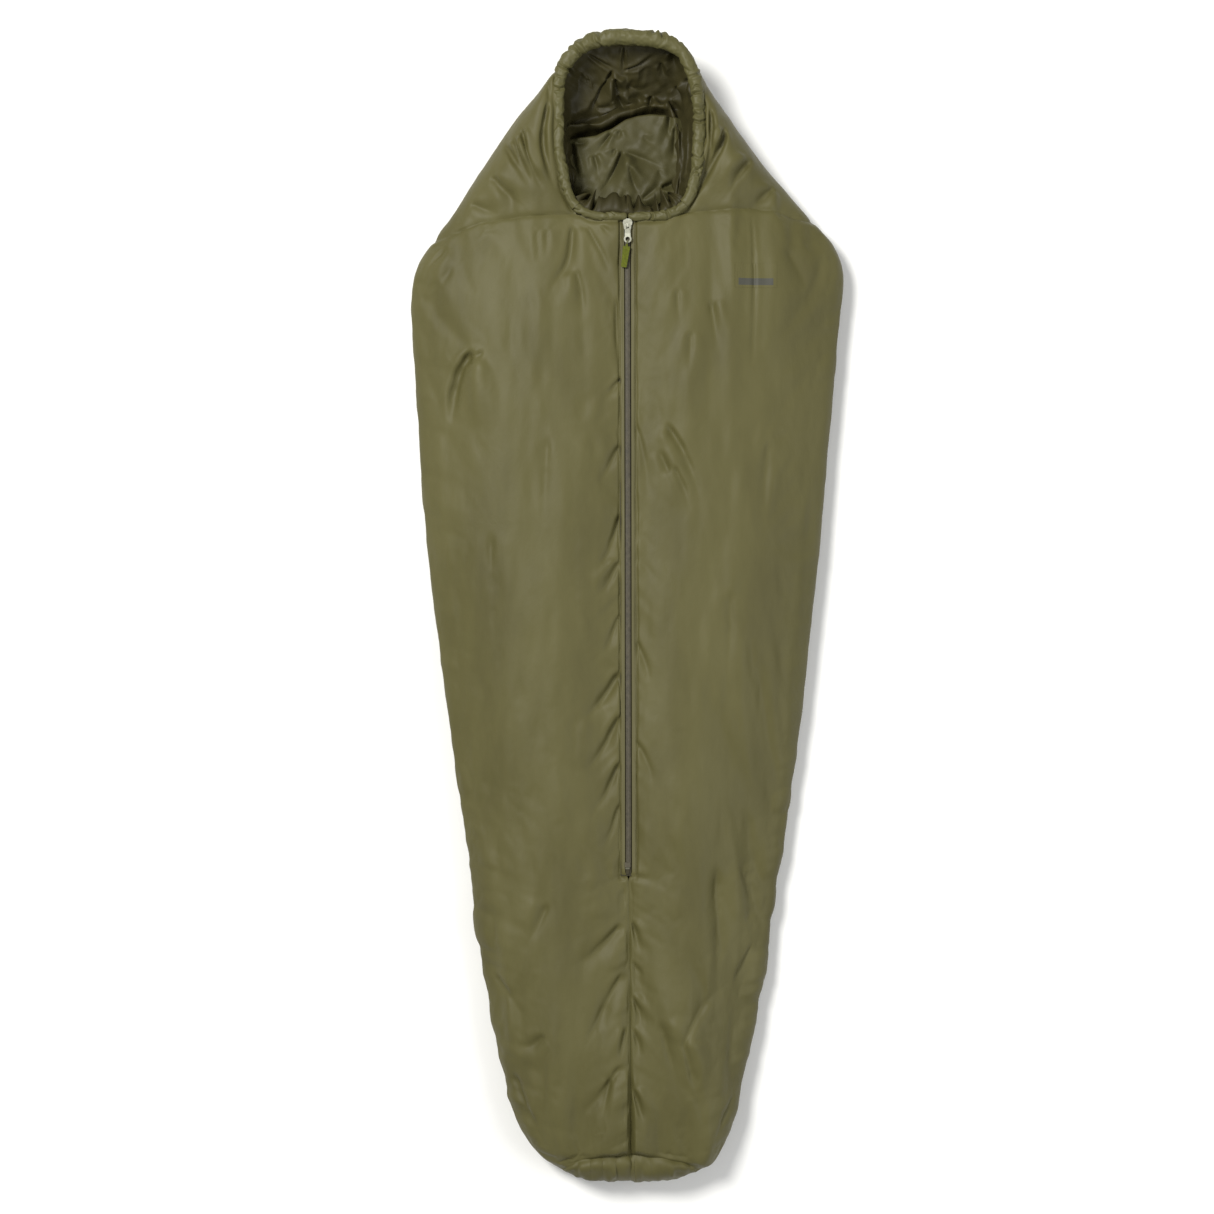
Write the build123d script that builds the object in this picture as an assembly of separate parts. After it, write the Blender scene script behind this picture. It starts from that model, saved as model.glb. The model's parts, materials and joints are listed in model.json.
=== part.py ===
"""Insulated mummy-shaped bivy bag with a centre-front zip, lying on its back.

Millimetres. +Z is up, +Y points to the hood, and +X to the right as seen from above.
Left and right in the names are as seen from above too.
The origin is under the middle of the bag, on the surface that it lies on.
"""

import math
import os

from build123d import *

# ---- driving dimensions -------------------------------------------------------------------
LENGTH = 2200.0
SEAM_SHARE = 0.38  # height of the widest line of a section, as a share of its height
BASE_SHARE = 0.72  # flat underside, as a share of a section's width
SIDE_SEAM_Z = 45.0  # the side seams between the back and the front
SHOULDER_Y = 742.0  # the seam between the front and the hood
FOOT_SEAM_Y = -1058.0  # the seam around the foot end panel

# The front is one plane over the zip: this height at y = 0, rising to the head at this slope.
FRONT_Z = 118.0
FRONT_RISE = 0.0161
SLOPE = math.degrees(math.atan(FRONT_RISE))

# Depth under the outer skin, first and last, of the three layers of every panel.
LAYERS = {"shell": (0.0, 1.0), "fill": (1.2, 16.0), "lining": (16.2, 17.0)}
RIM_DEPTH = 18.0
RIM_WIDTH = 20.0
RIM_MEET = 2.0  # from the zip's middle to the end of each lower rim half
ELASTIC_WIDTH = 4.0

ZIP_TOP_Y = 735.0
ZIP_END_Y = -498.0
ZIP_GAP = 16.5  # from the zip's middle to the edge of the panel fabric
TAPE_INNER = 1.8
TAPE_THICK = 0.6
COIL_WIDTH = 5.0  # one side's coil
COIL_GAP = 0.15
COIL_HEIGHT = 2.3
TAPE_TOP = -0.3
CLEARANCE = 0.3  # around the elastic in its channel
SLIDER_LENGTH = 20.0
SLIDER_WIDTH = 18.0
SLIDER_LOW = -2.8
SLIDER_TOP = 4.2
TUNNEL_HALF = 6.2  # half width of the way for the coils through the slider
TUNNEL_LOW = -1.4
TUNNEL_TOP = 2.7
SLOT_TOP = 0.2  # the tapes leave the tunnel on both sides under this height
POST_HALF = 1.2  # half width of the post that parts the coils
BRIDGE_HALF = 2.0
BRIDGE_TOP = 10.2
BRIDGE_WALL = 1.4
SLIDER_Y = 726.0  # the slider's middle, zip closed
SLIDER_PARK_Y = -482.0  # the slider's middle, zip open

# The two zip panels fold back about these lines, from beside the zip's end to the face rim.
FOLD_END = (26.0, -450.0)
FOLD_TOP = (104.0, 760.0)
FOLD_GAP = 0.3

PULL_REACH = 25.5  # from the pull's cross bar to the middle of its hole
PULL_HEAD = 12.4  # width beside the cross bar
PULL_WAIST = 10.6
PULL_RING_R = 7.2
PULL_HOLE_R = 4.2
PULL_Z = 7.6
PULL_THICK = 1.6
PULL_BAR_R = 0.9
PIVOT_Y = SLIDER_Y - 3.6  # the pull's cross bar, inside the bridge
HOLE_Y = PIVOT_Y - PULL_REACH
LOOP_HALF = 1.6
LOOP_THICK = 1.6
LOOP_WALL = 0.8
LOOP_TOP = HOLE_Y - 2.0  # the cord lies against the hole's lower side
LOOP_END_Y = HOLE_Y - 9.2
GRIP_PIVOT_Y = LOOP_END_Y - 1.2
GRIP_TOP = 13.6  # width of the grip's upper end
GRIP_END = 10.6
GRIP_LENGTH = 40.0
GRIP_THICK = 4.0
GRIP_RECESS = 0.6
HANG = -8.0  # how far the loop and grip hang turned about the hole, in degrees


def front_z(y):
    return FRONT_Z + FRONT_RISE * y


# Sections: y, half width, underside, top, flat share of the top.
SECTIONS = [
    (-1100, 75, 22, 86, 0.55),
    (-1085, 118, 8, 104, 0.55),
    (-1060, 160, 0, 118, 0.55),
    (-1040, 180, 0, 122, 0.55),
    (-980, 210, 0, 123, 0.55),
    (-850, 245, 0, 116, 0.55),
    (-560, 290, 0, front_z(-560), 0.55),
    (0, 370, 0, front_z(0), 0.55),
    (600, 416, 0, front_z(600), 0.55),
    (640, 411, 0, front_z(640), 0.55),
    (680, 396, 0, front_z(680), 0.55),
    (745, 347, 0, front_z(745), 0.6),
    (860, 258, 0, front_z(860), 0.68),
    (960, 182, 0, front_z(960), 0.84),
    (1020, 142, 6, front_z(1020), 0.9),
    (1060, 118, 24, front_z(1060), 0.92),
    (1085, 84, 52, front_z(1085) - 2, 0.92),
    (1100, 34, 80, front_z(1100) - 12, 0.9),
]


# ---- the bag's body -----------------------------------------------------------------------
def section(depth, y, half, low, top, flat):
    """One closed cross-section, this far under the outer skin."""
    y *= 1 - depth / (LENGTH / 2)
    half, low, top = half - depth, low + depth, top - depth
    mid = low + SEAM_SHARE * (top - low)
    crown, base = flat * half, BASE_SHARE * half
    edges = [
        EllipticalCenterArc((crown, mid), half - crown, top - mid, 0, arc_size=90),
        Line((crown, top), (-crown, top)),
        EllipticalCenterArc((-crown, mid), half - crown, top - mid, 90, arc_size=90),
        EllipticalCenterArc((-base, mid), half - base, mid - low, 180, arc_size=90),
        Line((-base, low), (base, low)),
        EllipticalCenterArc((base, mid), half - base, mid - low, 270, arc_size=90),
    ]
    across = Plane(origin=(0, y, 0), x_dir=(1, 0, 0), z_dir=(0, -1, 0))
    return across * Wire(edges)


def body(depth):
    return Solid.make_loft([section(depth, *row) for row in SECTIONS], ruled=True)


def layer(outer, inner):
    return body(outer) - body(inner)


def block(x, y, z=(-50, 300)):
    """A box from its lowest and highest x, y and z."""
    size = [high - low for low, high in (x, y, z)]
    return Pos(*[(low + high) / 2 for low, high in (x, y, z)]) * Box(*size)


def prism(points, z=(-50, 300)):
    """An upright prism over an outline in plan."""
    face = Pos(0, 0, z[0]) * make_face(Polyline(*points, close=True))
    return extrude(face, z[1] - z[0], dir=(0, 0, 1))


def on_front(shape):
    """Carries a shape from the flat drawing plane onto the front's sloping plane."""
    return shape.moved(Location((0, 0, FRONT_Z), (SLOPE, 0, 0)))


def zip_panel_prism(side, grow=0.0):
    """Plan of one fold-back zip panel, from its fold line to the zip's middle."""
    (end_x, end_y), (top_x, top_y) = FOLD_END, FOLD_TOP
    lean = (top_x - end_x) / (top_y - end_y)
    past = 20 + 5 * grow  # beyond the rim, into the open face
    outline = [
        (0, end_y - grow),
        (side * (end_x + grow - lean * grow), end_y - grow),
        (side * (top_x + grow + lean * past), top_y + past),
        (0, top_y + past),
    ]
    return prism(outline if side > 0 else outline[::-1])


def face_outline():
    """The face opening's outer edge in plan: a rounded opening with a straight chin."""
    chin, corner, cheek, crown = (90, 737), (118, 764), (138, 920), (0, 1084)
    right = [
        ThreePointArc(chin, (111, 744), corner),
        ThreePointArc(corner, (132, 840), cheek),
        ThreePointArc(cheek, (104, 1036), crown),
    ]
    left = [edge.mirror(Plane.YZ) for edge in right]
    bottom = Line((-chin[0], chin[1]), chin)
    return make_face(Wire([bottom, *right, *left]))


def ring(outer, inner, low, high):
    """A flat ring inside the face outline, on the front's plane."""
    edge = face_outline()
    face = offset(edge, -outer) if outer else edge
    hole = offset(edge, -inner)
    return on_front(extrude(Pos(0, 0, low) * (face - hole), high - low, dir=(0, 0, 1)))


def panels():
    """Plan and height region of each sewn panel, by name."""
    wide = (-500, 500)
    trunk = (FOOT_SEAM_Y, SHOULDER_Y)
    above, below = (SIDE_SEAM_Z, 300), (-50, SIDE_SEAM_Z)
    face = on_front(extrude(Pos(0, 0, -RIM_DEPTH) * face_outline(), 60, dir=(0, 0, 1)))
    zip_gap = block((-ZIP_GAP, ZIP_GAP), (ZIP_END_Y, SHOULDER_Y + 60))
    regions = {
        "back": block(wide, trunk, below),
        "foot": block(wide, (-1200, FOOT_SEAM_Y)),
    }
    for side, word in ((-1, "left"), (1, "right")):
        half = tuple(sorted((0, side * 500)))
        front = block(half, trunk, above) - zip_gap - face
        regions[f"front_{word}"] = front - zip_panel_prism(side, FOLD_GAP)
        regions[f"zip_panel_{word}"] = front & zip_panel_prism(side, -FOLD_GAP)
        regions[f"hood_{word}"] = block(half, (SHOULDER_Y, 1200)) - face
    return regions


def sewn_panels():
    """Every panel's shell, fill and lining as separate solids."""
    regions = panels()
    made = {}
    for name, (outer, inner) in LAYERS.items():
        whole = layer(outer, inner)
        for panel, region in regions.items():
            made[f"{panel}_{name}"] = whole & region
    return made


def face_rim():
    """The gathered tube around the face opening, parted where the zip panels fold."""
    tube = ring(0, RIM_WIDTH, -RIM_DEPTH, 0)
    middle = RIM_WIDTH / 2
    half = ELASTIC_WIDTH / 2
    centre = -RIM_DEPTH / 2
    room = half + CLEARANCE
    channel = ring(middle - room, middle + room, centre - room, centre + room)
    elastic = ring(middle - half, middle + half, centre - half, centre + half)
    folds = zip_panel_prism(-1, FOLD_GAP) + zip_panel_prism(1, FOLD_GAP)
    parts = {
        "face_rim_upper": tube - channel - folds,
        "rim_elastic": elastic - folds,
    }
    for side, word in ((-1, "left"), (1, "right")):
        middle_cut = block(tuple(sorted((side * RIM_MEET, side * 500))), (0, 1200))
        parts[f"face_rim_{word}"] = tube & zip_panel_prism(side, -FOLD_GAP) & middle_cut
    return parts


# ---- the zip ------------------------------------------------------------------------------
def strip(side, inner, outer, y, z):
    """A straight strip beside the zip's middle, on the front's plane."""
    return on_front(block(tuple(sorted((side * inner, side * outer))), y, z))


def zip_tapes_and_coils():
    tape_z = (TAPE_TOP - TAPE_THICK, TAPE_TOP)
    coil_z = (TAPE_TOP, COIL_HEIGHT)
    fold_y = FOLD_END[1]
    coil_outer = COIL_GAP + COIL_WIDTH
    made = {}
    for side, word in ((-1, "left"), (1, "right")):
        reach = ZIP_GAP - 0.1
        made[f"zip_tape_{word}"] = strip(side, TAPE_INNER, reach, (fold_y + 0.5, ZIP_TOP_Y), tape_z)
        made[f"zip_coil_{word}"] = strip(side, COIL_GAP, coil_outer, (fold_y + 0.5, 722), coil_z)
        made[f"zip_top_stop_{word}"] = strip(side, 2.0, 5.0, (724.5, 729.5), coil_z)
        end = (ZIP_END_Y + 0.5, fold_y - 0.5)
        made[f"zip_tape_end_{word}"] = strip(side, TAPE_INNER, reach, end, tape_z)
    end_coil = (ZIP_END_Y + 5, SLIDER_PARK_Y - 2)
    made["zip_coil_end"] = on_front(block((-coil_outer, coil_outer), end_coil, coil_z))
    made["zip_bottom_stop"] = on_front(block((-4, 4), (ZIP_END_Y + 1, ZIP_END_Y + 4.5), (-0.25, 3)))
    made["zip_end_tab"] = on_front(block((-3, 3), (ZIP_END_Y - 9, ZIP_END_Y + 0.8), (0.1, 1.1)))
    return made


def slider_plate(low, high):
    """The slider's pointed outline, nose to the head."""
    half, reach = SLIDER_WIDTH / 2, SLIDER_LENGTH / 2
    right = [(3, reach), (7.5, reach - 2), (half, 3), (6.6, -reach)]
    left = [(-x, y) for x, y in reversed(right)]
    plate = Pos(0, SLIDER_Y, low) * make_face(Polyline(*right, *left, close=True))
    return extrude(plate, high - low, dir=(0, 0, 1))


def slider():
    """Die-cast slider: two plates, their rails, the dividing post and the bridge."""
    along = (SLIDER_Y - SLIDER_LENGTH, SLIDER_Y + SLIDER_LENGTH)
    tunnel = block((-TUNNEL_HALF, TUNNEL_HALF), along, (TUNNEL_LOW, TUNNEL_TOP))
    slot = block((-SLIDER_WIDTH, SLIDER_WIDTH), along, (TUNNEL_LOW, SLOT_TOP))
    nose = SLIDER_Y + SLIDER_LENGTH / 2
    post = block((-POST_HALF, POST_HALF), (nose - 5, nose - 1), (TUNNEL_LOW - 0.1, TUNNEL_TOP + 0.1))
    shape = slider_plate(SLIDER_LOW, SLIDER_TOP) - tunnel - slot + post
    back, front = PIVOT_Y + 4.2, PIVOT_Y - 3
    arch = block((-BRIDGE_HALF, BRIDGE_HALF), (front, back), (SLIDER_TOP, BRIDGE_TOP))
    under = block((-3, 3), (front + 1.5, back - 1.5), (SLIDER_TOP, BRIDGE_TOP - BRIDGE_WALL))
    return {"slider_body": on_front(shape), "slider_bridge": on_front(arch - under)}


def pull_tab():
    """Metal pull: a cross bar in the bridge between two arms, a waist and a ring for the loop."""
    head, waist = PULL_HEAD / 2, PULL_WAIST / 2
    right = [(head, PIVOT_Y + 2.2), (head, PIVOT_Y - 3), (waist, PIVOT_Y - 10), (waist + 0.4, HOLE_Y + 3)]
    left = [(-x, y) for x, y in reversed(right)]
    shank = Pos(0, 0, PULL_Z - PULL_THICK / 2) * make_face(Polyline(*right, *left, close=True))
    shank = extrude(shank, PULL_THICK, dir=(0, 0, 1))
    shank += Pos(0, HOLE_Y, PULL_Z) * Cylinder(PULL_RING_R, PULL_THICK)
    window = block((-3, 3), (PIVOT_Y - 6.5, PIVOT_Y + 5), (0, 20))
    bar = Pos(0, PIVOT_Y, PULL_Z) * Rot(0, 90, 0) * Cylinder(PULL_BAR_R, 6.4)
    hole = Pos(0, HOLE_Y, PULL_Z) * Cylinder(PULL_HOLE_R, 10)
    return on_front(shank - window + bar - hole)


def hanging(shape):
    """Turns a shape about the pull's hole, as the loop and the grip hang."""
    return Pos(0, HOLE_Y, 0) * Rot(0, 0, HANG) * Pos(0, -HOLE_Y, 0) * shape


def puller():
    """Cord loop through the pull's hole, and the moulded grip that hinges below it."""
    inside = PULL_THICK / 2 + 0.5
    outside = inside + LOOP_THICK
    outer = block((-LOOP_HALF, LOOP_HALF), (LOOP_END_Y, LOOP_TOP), (PULL_Z - outside, PULL_Z + outside))
    gap = (LOOP_END_Y + LOOP_WALL, LOOP_TOP - 1.6)
    loop = outer - block((-3, 3), gap, (PULL_Z - inside, PULL_Z + inside))
    start = GRIP_PIVOT_Y - 3.4
    end = start - GRIP_LENGTH
    top, foot = GRIP_TOP / 2, GRIP_END / 2
    outline = [(-top, start), (-foot, end), (foot, end), (top, start)]
    plate = Pos(0, 0, PULL_Z - GRIP_THICK / 2) * make_face(Polyline(*outline, close=True))
    grip = extrude(plate, GRIP_THICK, dir=(0, 0, 1))
    grip = fillet(grip.edges().filter_by(Axis.Z), 2.0)
    surface = PULL_Z + GRIP_THICK / 2
    grip -= block((-1.5, 1.5), (end + 6, start - 7), (surface - GRIP_RECESS, surface + 1))
    neck = block((-2, 2), (start - 1, GRIP_PIVOT_Y), (PULL_Z - 0.8, PULL_Z + 0.8))
    knuckle = Pos(0, GRIP_PIVOT_Y, PULL_Z) * Rot(0, 90, 0) * Cylinder(0.8, 4)
    return {
        "puller_loop": on_front(hanging(loop)),
        "puller_grip": on_front(hanging(grip + neck + knuckle)),
    }


def chest_patch():
    """A plain patch on the right of the chest."""
    skin = body(-0.7) - body(-0.1)
    return skin & block((203, 283), (606, 652), (60, 300))


# ---- write --------------------------------------------------------------------------------
def build():
    parts = sewn_panels()
    parts.update(face_rim())
    parts.update(zip_tapes_and_coils())
    parts.update(slider())
    parts["pull_tab"] = pull_tab()
    parts.update(puller())
    parts["chest_patch"] = chest_patch()
    return parts


os.makedirs("parts", exist_ok=True)
for node, shape in build().items():
    export_step(shape, f"parts/{node}.step")
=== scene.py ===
"""Insulated mummy-shaped bivy bag, lying on its back and seen from straight above. Metres."""
import json
import math

import bpy
import numpy as np
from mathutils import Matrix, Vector
from mathutils.kdtree import KDTree


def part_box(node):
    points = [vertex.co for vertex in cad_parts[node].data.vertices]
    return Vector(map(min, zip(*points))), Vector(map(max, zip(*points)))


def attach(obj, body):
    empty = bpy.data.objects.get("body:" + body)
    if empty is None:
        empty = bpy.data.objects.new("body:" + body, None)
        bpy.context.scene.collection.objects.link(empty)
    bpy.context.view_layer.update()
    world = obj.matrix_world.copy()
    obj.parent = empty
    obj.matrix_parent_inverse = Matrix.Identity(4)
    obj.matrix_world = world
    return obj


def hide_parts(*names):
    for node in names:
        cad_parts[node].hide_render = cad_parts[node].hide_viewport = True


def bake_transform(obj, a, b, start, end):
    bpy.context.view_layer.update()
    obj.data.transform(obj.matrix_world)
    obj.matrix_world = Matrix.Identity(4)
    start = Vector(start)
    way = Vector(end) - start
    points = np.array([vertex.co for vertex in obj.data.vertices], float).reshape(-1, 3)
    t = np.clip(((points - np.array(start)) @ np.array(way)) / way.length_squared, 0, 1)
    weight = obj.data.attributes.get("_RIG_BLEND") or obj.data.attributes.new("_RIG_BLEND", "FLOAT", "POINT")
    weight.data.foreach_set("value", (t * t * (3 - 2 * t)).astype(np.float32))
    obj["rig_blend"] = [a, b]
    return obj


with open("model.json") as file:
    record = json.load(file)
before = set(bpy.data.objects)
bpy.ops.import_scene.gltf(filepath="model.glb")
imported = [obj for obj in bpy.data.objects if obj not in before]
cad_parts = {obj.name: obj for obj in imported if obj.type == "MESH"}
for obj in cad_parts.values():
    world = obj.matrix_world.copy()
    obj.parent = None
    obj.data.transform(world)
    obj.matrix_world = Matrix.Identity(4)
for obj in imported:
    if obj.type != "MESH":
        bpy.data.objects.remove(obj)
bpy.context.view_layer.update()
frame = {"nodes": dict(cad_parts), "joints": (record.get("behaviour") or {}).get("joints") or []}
MM = 0.001

# ---- places read from the frame ----
SLIDER_Y = np.mean([corner[1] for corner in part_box("slider_body")])
ZIP_END_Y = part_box("zip_bottom_stop")[0][1] - 0.001
STOP_TOP_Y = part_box("zip_bottom_stop")[1][1]
GRIP_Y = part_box("puller_grip")[0][1] + 0.012
FOLD_JOINTS = {
    word: next(joint for joint in frame["joints"] if joint["name"] == f"zip_panel_{word}_fold")
    for word in ("left", "right")
}
FRONT_RISE = 0.0161  # how much the front rises towards the hood, per metre
FRONT_Z = FOLD_JOINTS["left"]["pos_m"][2] - FRONT_RISE * FOLD_JOINTS["left"]["pos_m"][1]

# ---- the bag's own shape ----
SEAM_SHARE = 0.38  # height of the side seam, as a share of the top's
ZIP_EDGE = 0.0066  # from the zip's middle to the facing's inner edge
FACING = 0.0155  # from the zip's middle to the facing's stitching
PUFF = 0.007  # how much the padding lifts each half between its seams
HOOD_FROM_Y = 0.76  # beyond this the outer cloth belongs to the hood
FOOT_SEAM = (-1.045, 0.028, 0.14)  # y in the middle, drop at the sides, half width
HOOD_TURN = 0.097  # half width of the chin, where the hood's seam meets the rim

# y, half width left, half width right
OUTLINE = [
    (-1.1, 0.04, 0.052), (-1.097, 0.072, 0.08), (-1.09, 0.099, 0.11),
    (-1.074, 0.137, 0.149), (-1.059, 0.16, 0.167), (-1.029, 0.187, 0.185),
    (-0.968, 0.217, 0.211), (-0.842, 0.249, 0.244), (-0.652, 0.284, 0.274),
    (-0.462, 0.309, 0.302), (-0.271, 0.337, 0.327), (-0.081, 0.36, 0.348),
    (0.109, 0.383, 0.369), (0.3, 0.399, 0.386), (0.49, 0.412, 0.402),
    (0.6, 0.416, 0.414), (0.654, 0.404, 0.413), (0.699, 0.376, 0.394),
    (0.745, 0.341, 0.352), (0.836, 0.28, 0.27), (0.928, 0.217, 0.2),
    (0.985, 0.166, 0.158), (1.031, 0.131, 0.135), (1.053, 0.117, 0.118),
    (1.076, 0.09, 0.088), (1.09, 0.06, 0.052), (1.0985, 0.024, 0.02),
]
# The middle of the rim's tube around the face, from the zip up the left side, and its radius.
RIM = [
    (-0.0006, 0.7405, 0.0066), (-0.03, 0.741, 0.008), (-0.068, 0.7425, 0.0082),
    (-0.098, 0.759, 0.0088), (-0.117, 0.796, 0.0095), (-0.128, 0.857, 0.0098),
    (-0.131, 0.91, 0.01), (-0.131, 0.97, 0.0105), (-0.124, 1.018, 0.0115),
    (-0.09, 1.058, 0.013), (-0.05, 1.074, 0.014), (0.003, 1.079, 0.015),
    (0.052, 1.074, 0.014), (0.098, 1.056, 0.013), (0.122, 1.018, 0.0125),
    (0.133, 0.966, 0.0115), (0.135, 0.883, 0.0108), (0.125, 0.804, 0.01),
    (0.107, 0.763, 0.009), (0.066, 0.7425, 0.0082), (0.03, 0.741, 0.008),
    (0.0006, 0.7405, 0.0066),
]


# ---- small maths ----
NOISE = np.random.default_rng(11).uniform(-1, 1, (32, 32, 32))


def smooth(t):
    t = np.clip(t, 0, 1)
    return t * t * (3 - 2 * t)


def noise(points, size, seed):
    """Smooth value noise, -1 to 1, with features of this size."""
    q = np.asarray(points, float) / size + np.array([3.1, 7.7, 5.3]) * (seed + 1)
    cell = np.floor(q).astype(int)
    part = smooth(q - cell)
    total = np.zeros(len(q))
    for corner in np.ndindex(2, 2, 2):
        weight = np.prod(np.where(corner, part, 1 - part), axis=1)
        total += weight * NOISE[tuple(((cell + corner) % 32).T)]
    return total


def through(points, count):
    """A Catmull-Rom curve through these points, evenly sampled by length."""
    p = np.array(points, float)
    p = np.vstack([2 * p[0] - p[1], p, 2 * p[-1] - p[-2]])
    t = np.linspace(0, 1, 24, endpoint=False)[:, None]
    runs = [
        0.5 * (2 * b + (c - a) * t + (2 * a - 5 * b + 4 * c - d) * t**2
               + (3 * b - a - 3 * c + d) * t**3)
        for a, b, c, d in zip(p, p[1:], p[2:], p[3:])
    ]
    return resample(np.vstack([*runs, p[-2:-1]]), count)


def resample(path, at):
    """Points along a path: this many, evenly by length, or at these shares of its length."""
    step = np.linalg.norm(np.diff(path, axis=0), axis=1)
    length = np.r_[0, np.cumsum(step)]
    at = np.linspace(0, 1, at) if np.ndim(at) == 0 else at
    return np.stack([np.interp(at * length[-1], length, path[:, k]) for k in range(path.shape[1])], 1)


DENSE_OUTLINE = through(OUTLINE, 900)


def half_width(y, side):
    """The outline's half width, with the small scallops of the sewn edge."""
    column = 1 if side < 0 else 2
    base = np.interp(y, DENSE_OUTLINE[:, 0], DENSE_OUTLINE[:, column])
    y = np.asarray(y, float)
    at = np.stack([y, np.full_like(y, side), np.zeros_like(y)], -1).reshape(-1, 3)
    low = smooth((-0.30 - y) / 0.25) * smooth((y + 1.05) / 0.1)
    scallop = noise(at, 0.045, 3).reshape(y.shape) * (0.0010 + 0.0028 * low * (1.2 if side < 0 else 0.8))
    return base + scallop * smooth((1.04 - np.abs(y)) / 0.05)


def width_at(points):
    """The outline's half width at each point, on that point's own side."""
    return np.where(points[:, 0] < 0, half_width(points[:, 1], -1), half_width(points[:, 1], 1))


def front_z(y):
    return FRONT_Z + FRONT_RISE * np.asarray(y, float)


def top_z(y):
    """Height of the bag along its length, before its halves puff up."""
    foot = smooth((-0.62 - np.asarray(y)) / 0.3) * 0.014
    end = smooth((-1.035 - np.asarray(y)) / 0.06) * 0.012
    return front_z(y) + foot - end


def seam_z(y):
    """Height of the side seam."""
    toe = smooth((np.abs(y) - 0.98) / 0.12)
    return SEAM_SHARE * top_z(y) + 0.012 * toe


def profile(share):
    """Height of the top between the side seam and the crown, by share of the half width."""
    return np.sqrt(np.clip(1 - np.clip(share, 0, 1) ** 3.0, 0, 1))


def top_point(x, y, side):
    """A point on the smooth top surface over this place in plan."""
    x, y = np.broadcast_arrays(np.asarray(x, float), np.asarray(y, float))
    share = np.abs(x) / half_width(y, side)
    z = seam_z(y) + (top_z(y) - seam_z(y)) * profile(share)
    beside = np.clip(np.abs(x) - FACING, 0, None)
    puff = 0.3 * PUFF * (1 - np.exp(-beside / 0.014)) + 0.9 * PUFF * (1 - np.exp(-beside / 0.13))
    puff *= 1 - np.clip(share, 0, 1) ** 4
    return np.stack([x, y, z + puff], -1)


# ---- meshes ----
def new_object(name, mesh, material):
    obj = bpy.data.objects.new(name, mesh)
    bpy.context.scene.collection.objects.link(obj)
    obj.data.materials.append(material)
    return obj


def make_mesh(name, verts, faces, material):
    """A smooth-shaded mesh of triangles or quads."""
    mesh = bpy.data.meshes.new(name)
    mesh.from_pydata(np.asarray(verts).tolist(), [], np.asarray(faces).tolist())
    mesh.polygons.foreach_set("use_smooth", [True] * len(mesh.polygons))
    mesh.update()
    return new_object(name, mesh, material)


def flat_mesh(name, verts, faces, material):
    """A mesh of small flat-shaded faces with any number of corners."""
    mesh = bpy.data.meshes.new(name)
    mesh.from_pydata(verts.tolist(), [], faces)
    return new_object(name, mesh, material)


def grid_faces(rows, columns, wrap=False):
    """Quads of a grid of points stored row by row."""
    i, j = np.meshgrid(np.arange(rows - 1), np.arange(columns if wrap else columns - 1), indexing="ij")
    this, after = i * columns, (i + 1) * columns
    beside = (j + 1) % columns
    return np.stack([this + j, this + beside, after + beside, after + j], -1).reshape(-1, 4)


# ---- folds ----
def along(points, path):
    """Distance, side and share along a plan path of each plan point."""
    best = np.full(len(points), 1e9)
    side = np.zeros(len(points))
    share = np.zeros(len(points))
    lengths = np.linalg.norm(np.diff(path, axis=0), axis=1)
    start = np.r_[0, np.cumsum(lengths)]
    for k, (a, b) in enumerate(zip(path, path[1:])):
        run = b - a
        t = np.clip(((points - a) @ run) / (run @ run), 0, 1)
        away = points - (a + t[:, None] * run)
        distance = np.linalg.norm(away, axis=1)
        near = distance < best
        best[near] = distance[near]
        side[near] = np.sign(run[0] * away[near, 1] - run[1] * away[near, 0])
        share[near] = (start[k] + t[near] * lengths[k]) / start[-1]
    return best, side, share


def crease(points, path, depth, width, lip, skew):
    """A fold along a plan path: a sharp groove that widens and fades, with a soft swell beside it."""
    path = through(np.array(path, float) * MM, 14)
    near = np.all((points[:, :2] > path.min(axis=0) - 6 * width * MM)
                  & (points[:, :2] < path.max(axis=0) + 6 * width * MM), axis=1)
    result = np.zeros(len(points))
    if not near.any():
        return result
    distance, side, share = along(points[near, :2], path)
    wander = 0.35 * noise(np.column_stack([points[near, :2], 0 * distance]), 0.02, 7)
    u = distance / (width * MM * (0.55 + 0.9 * share)) + wander * np.exp(-distance / 0.01)
    u = np.abs(u) / np.clip(1 + skew * side, 0.35, None)
    ends = smooth(share / 0.12) * (1 - smooth((share - 0.25) / 0.75))
    swell = lip * (1 + 0.8 * np.sign(skew) * side) * np.exp(-(((u - 2.4) / 1.6) ** 2))
    result[near] = depth * MM * ends * (swell - np.exp(-(u**1.35)))
    return result


def creases(points, folds, strength, lip=0.3):
    """The height of all these folds together."""
    height = np.zeros(len(points))
    for path, depth, width, skew in folds:
        height += crease(points, path, strength * depth, width, lip, skew)
    return height


def pucker(points, path, height, reach, pitch, seed, lean=0.0):
    """Small ridges that leave a seam at right angles and die out over their reach."""
    distance, side, share = along(points[:, :2], path)
    run = share * np.linalg.norm(np.diff(path, axis=0), axis=1).sum()
    at = np.stack([run + lean * distance, side * 3, distance * 0.25], -1)
    broad = noise(at + [0, 0, 0.3 * pitch], pitch * 1.6, seed)
    wave = 1.6 * np.sqrt(broad**2 + 0.003) - 0.5 + 0.5 * noise(at, pitch * 0.6, seed + 5)
    vary = 0.55 + 0.45 * noise(np.stack([run, side * 5, 0 * run], -1), pitch * 5, seed + 9)
    return height * wave * vary * np.exp(-distance / reach)


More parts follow.
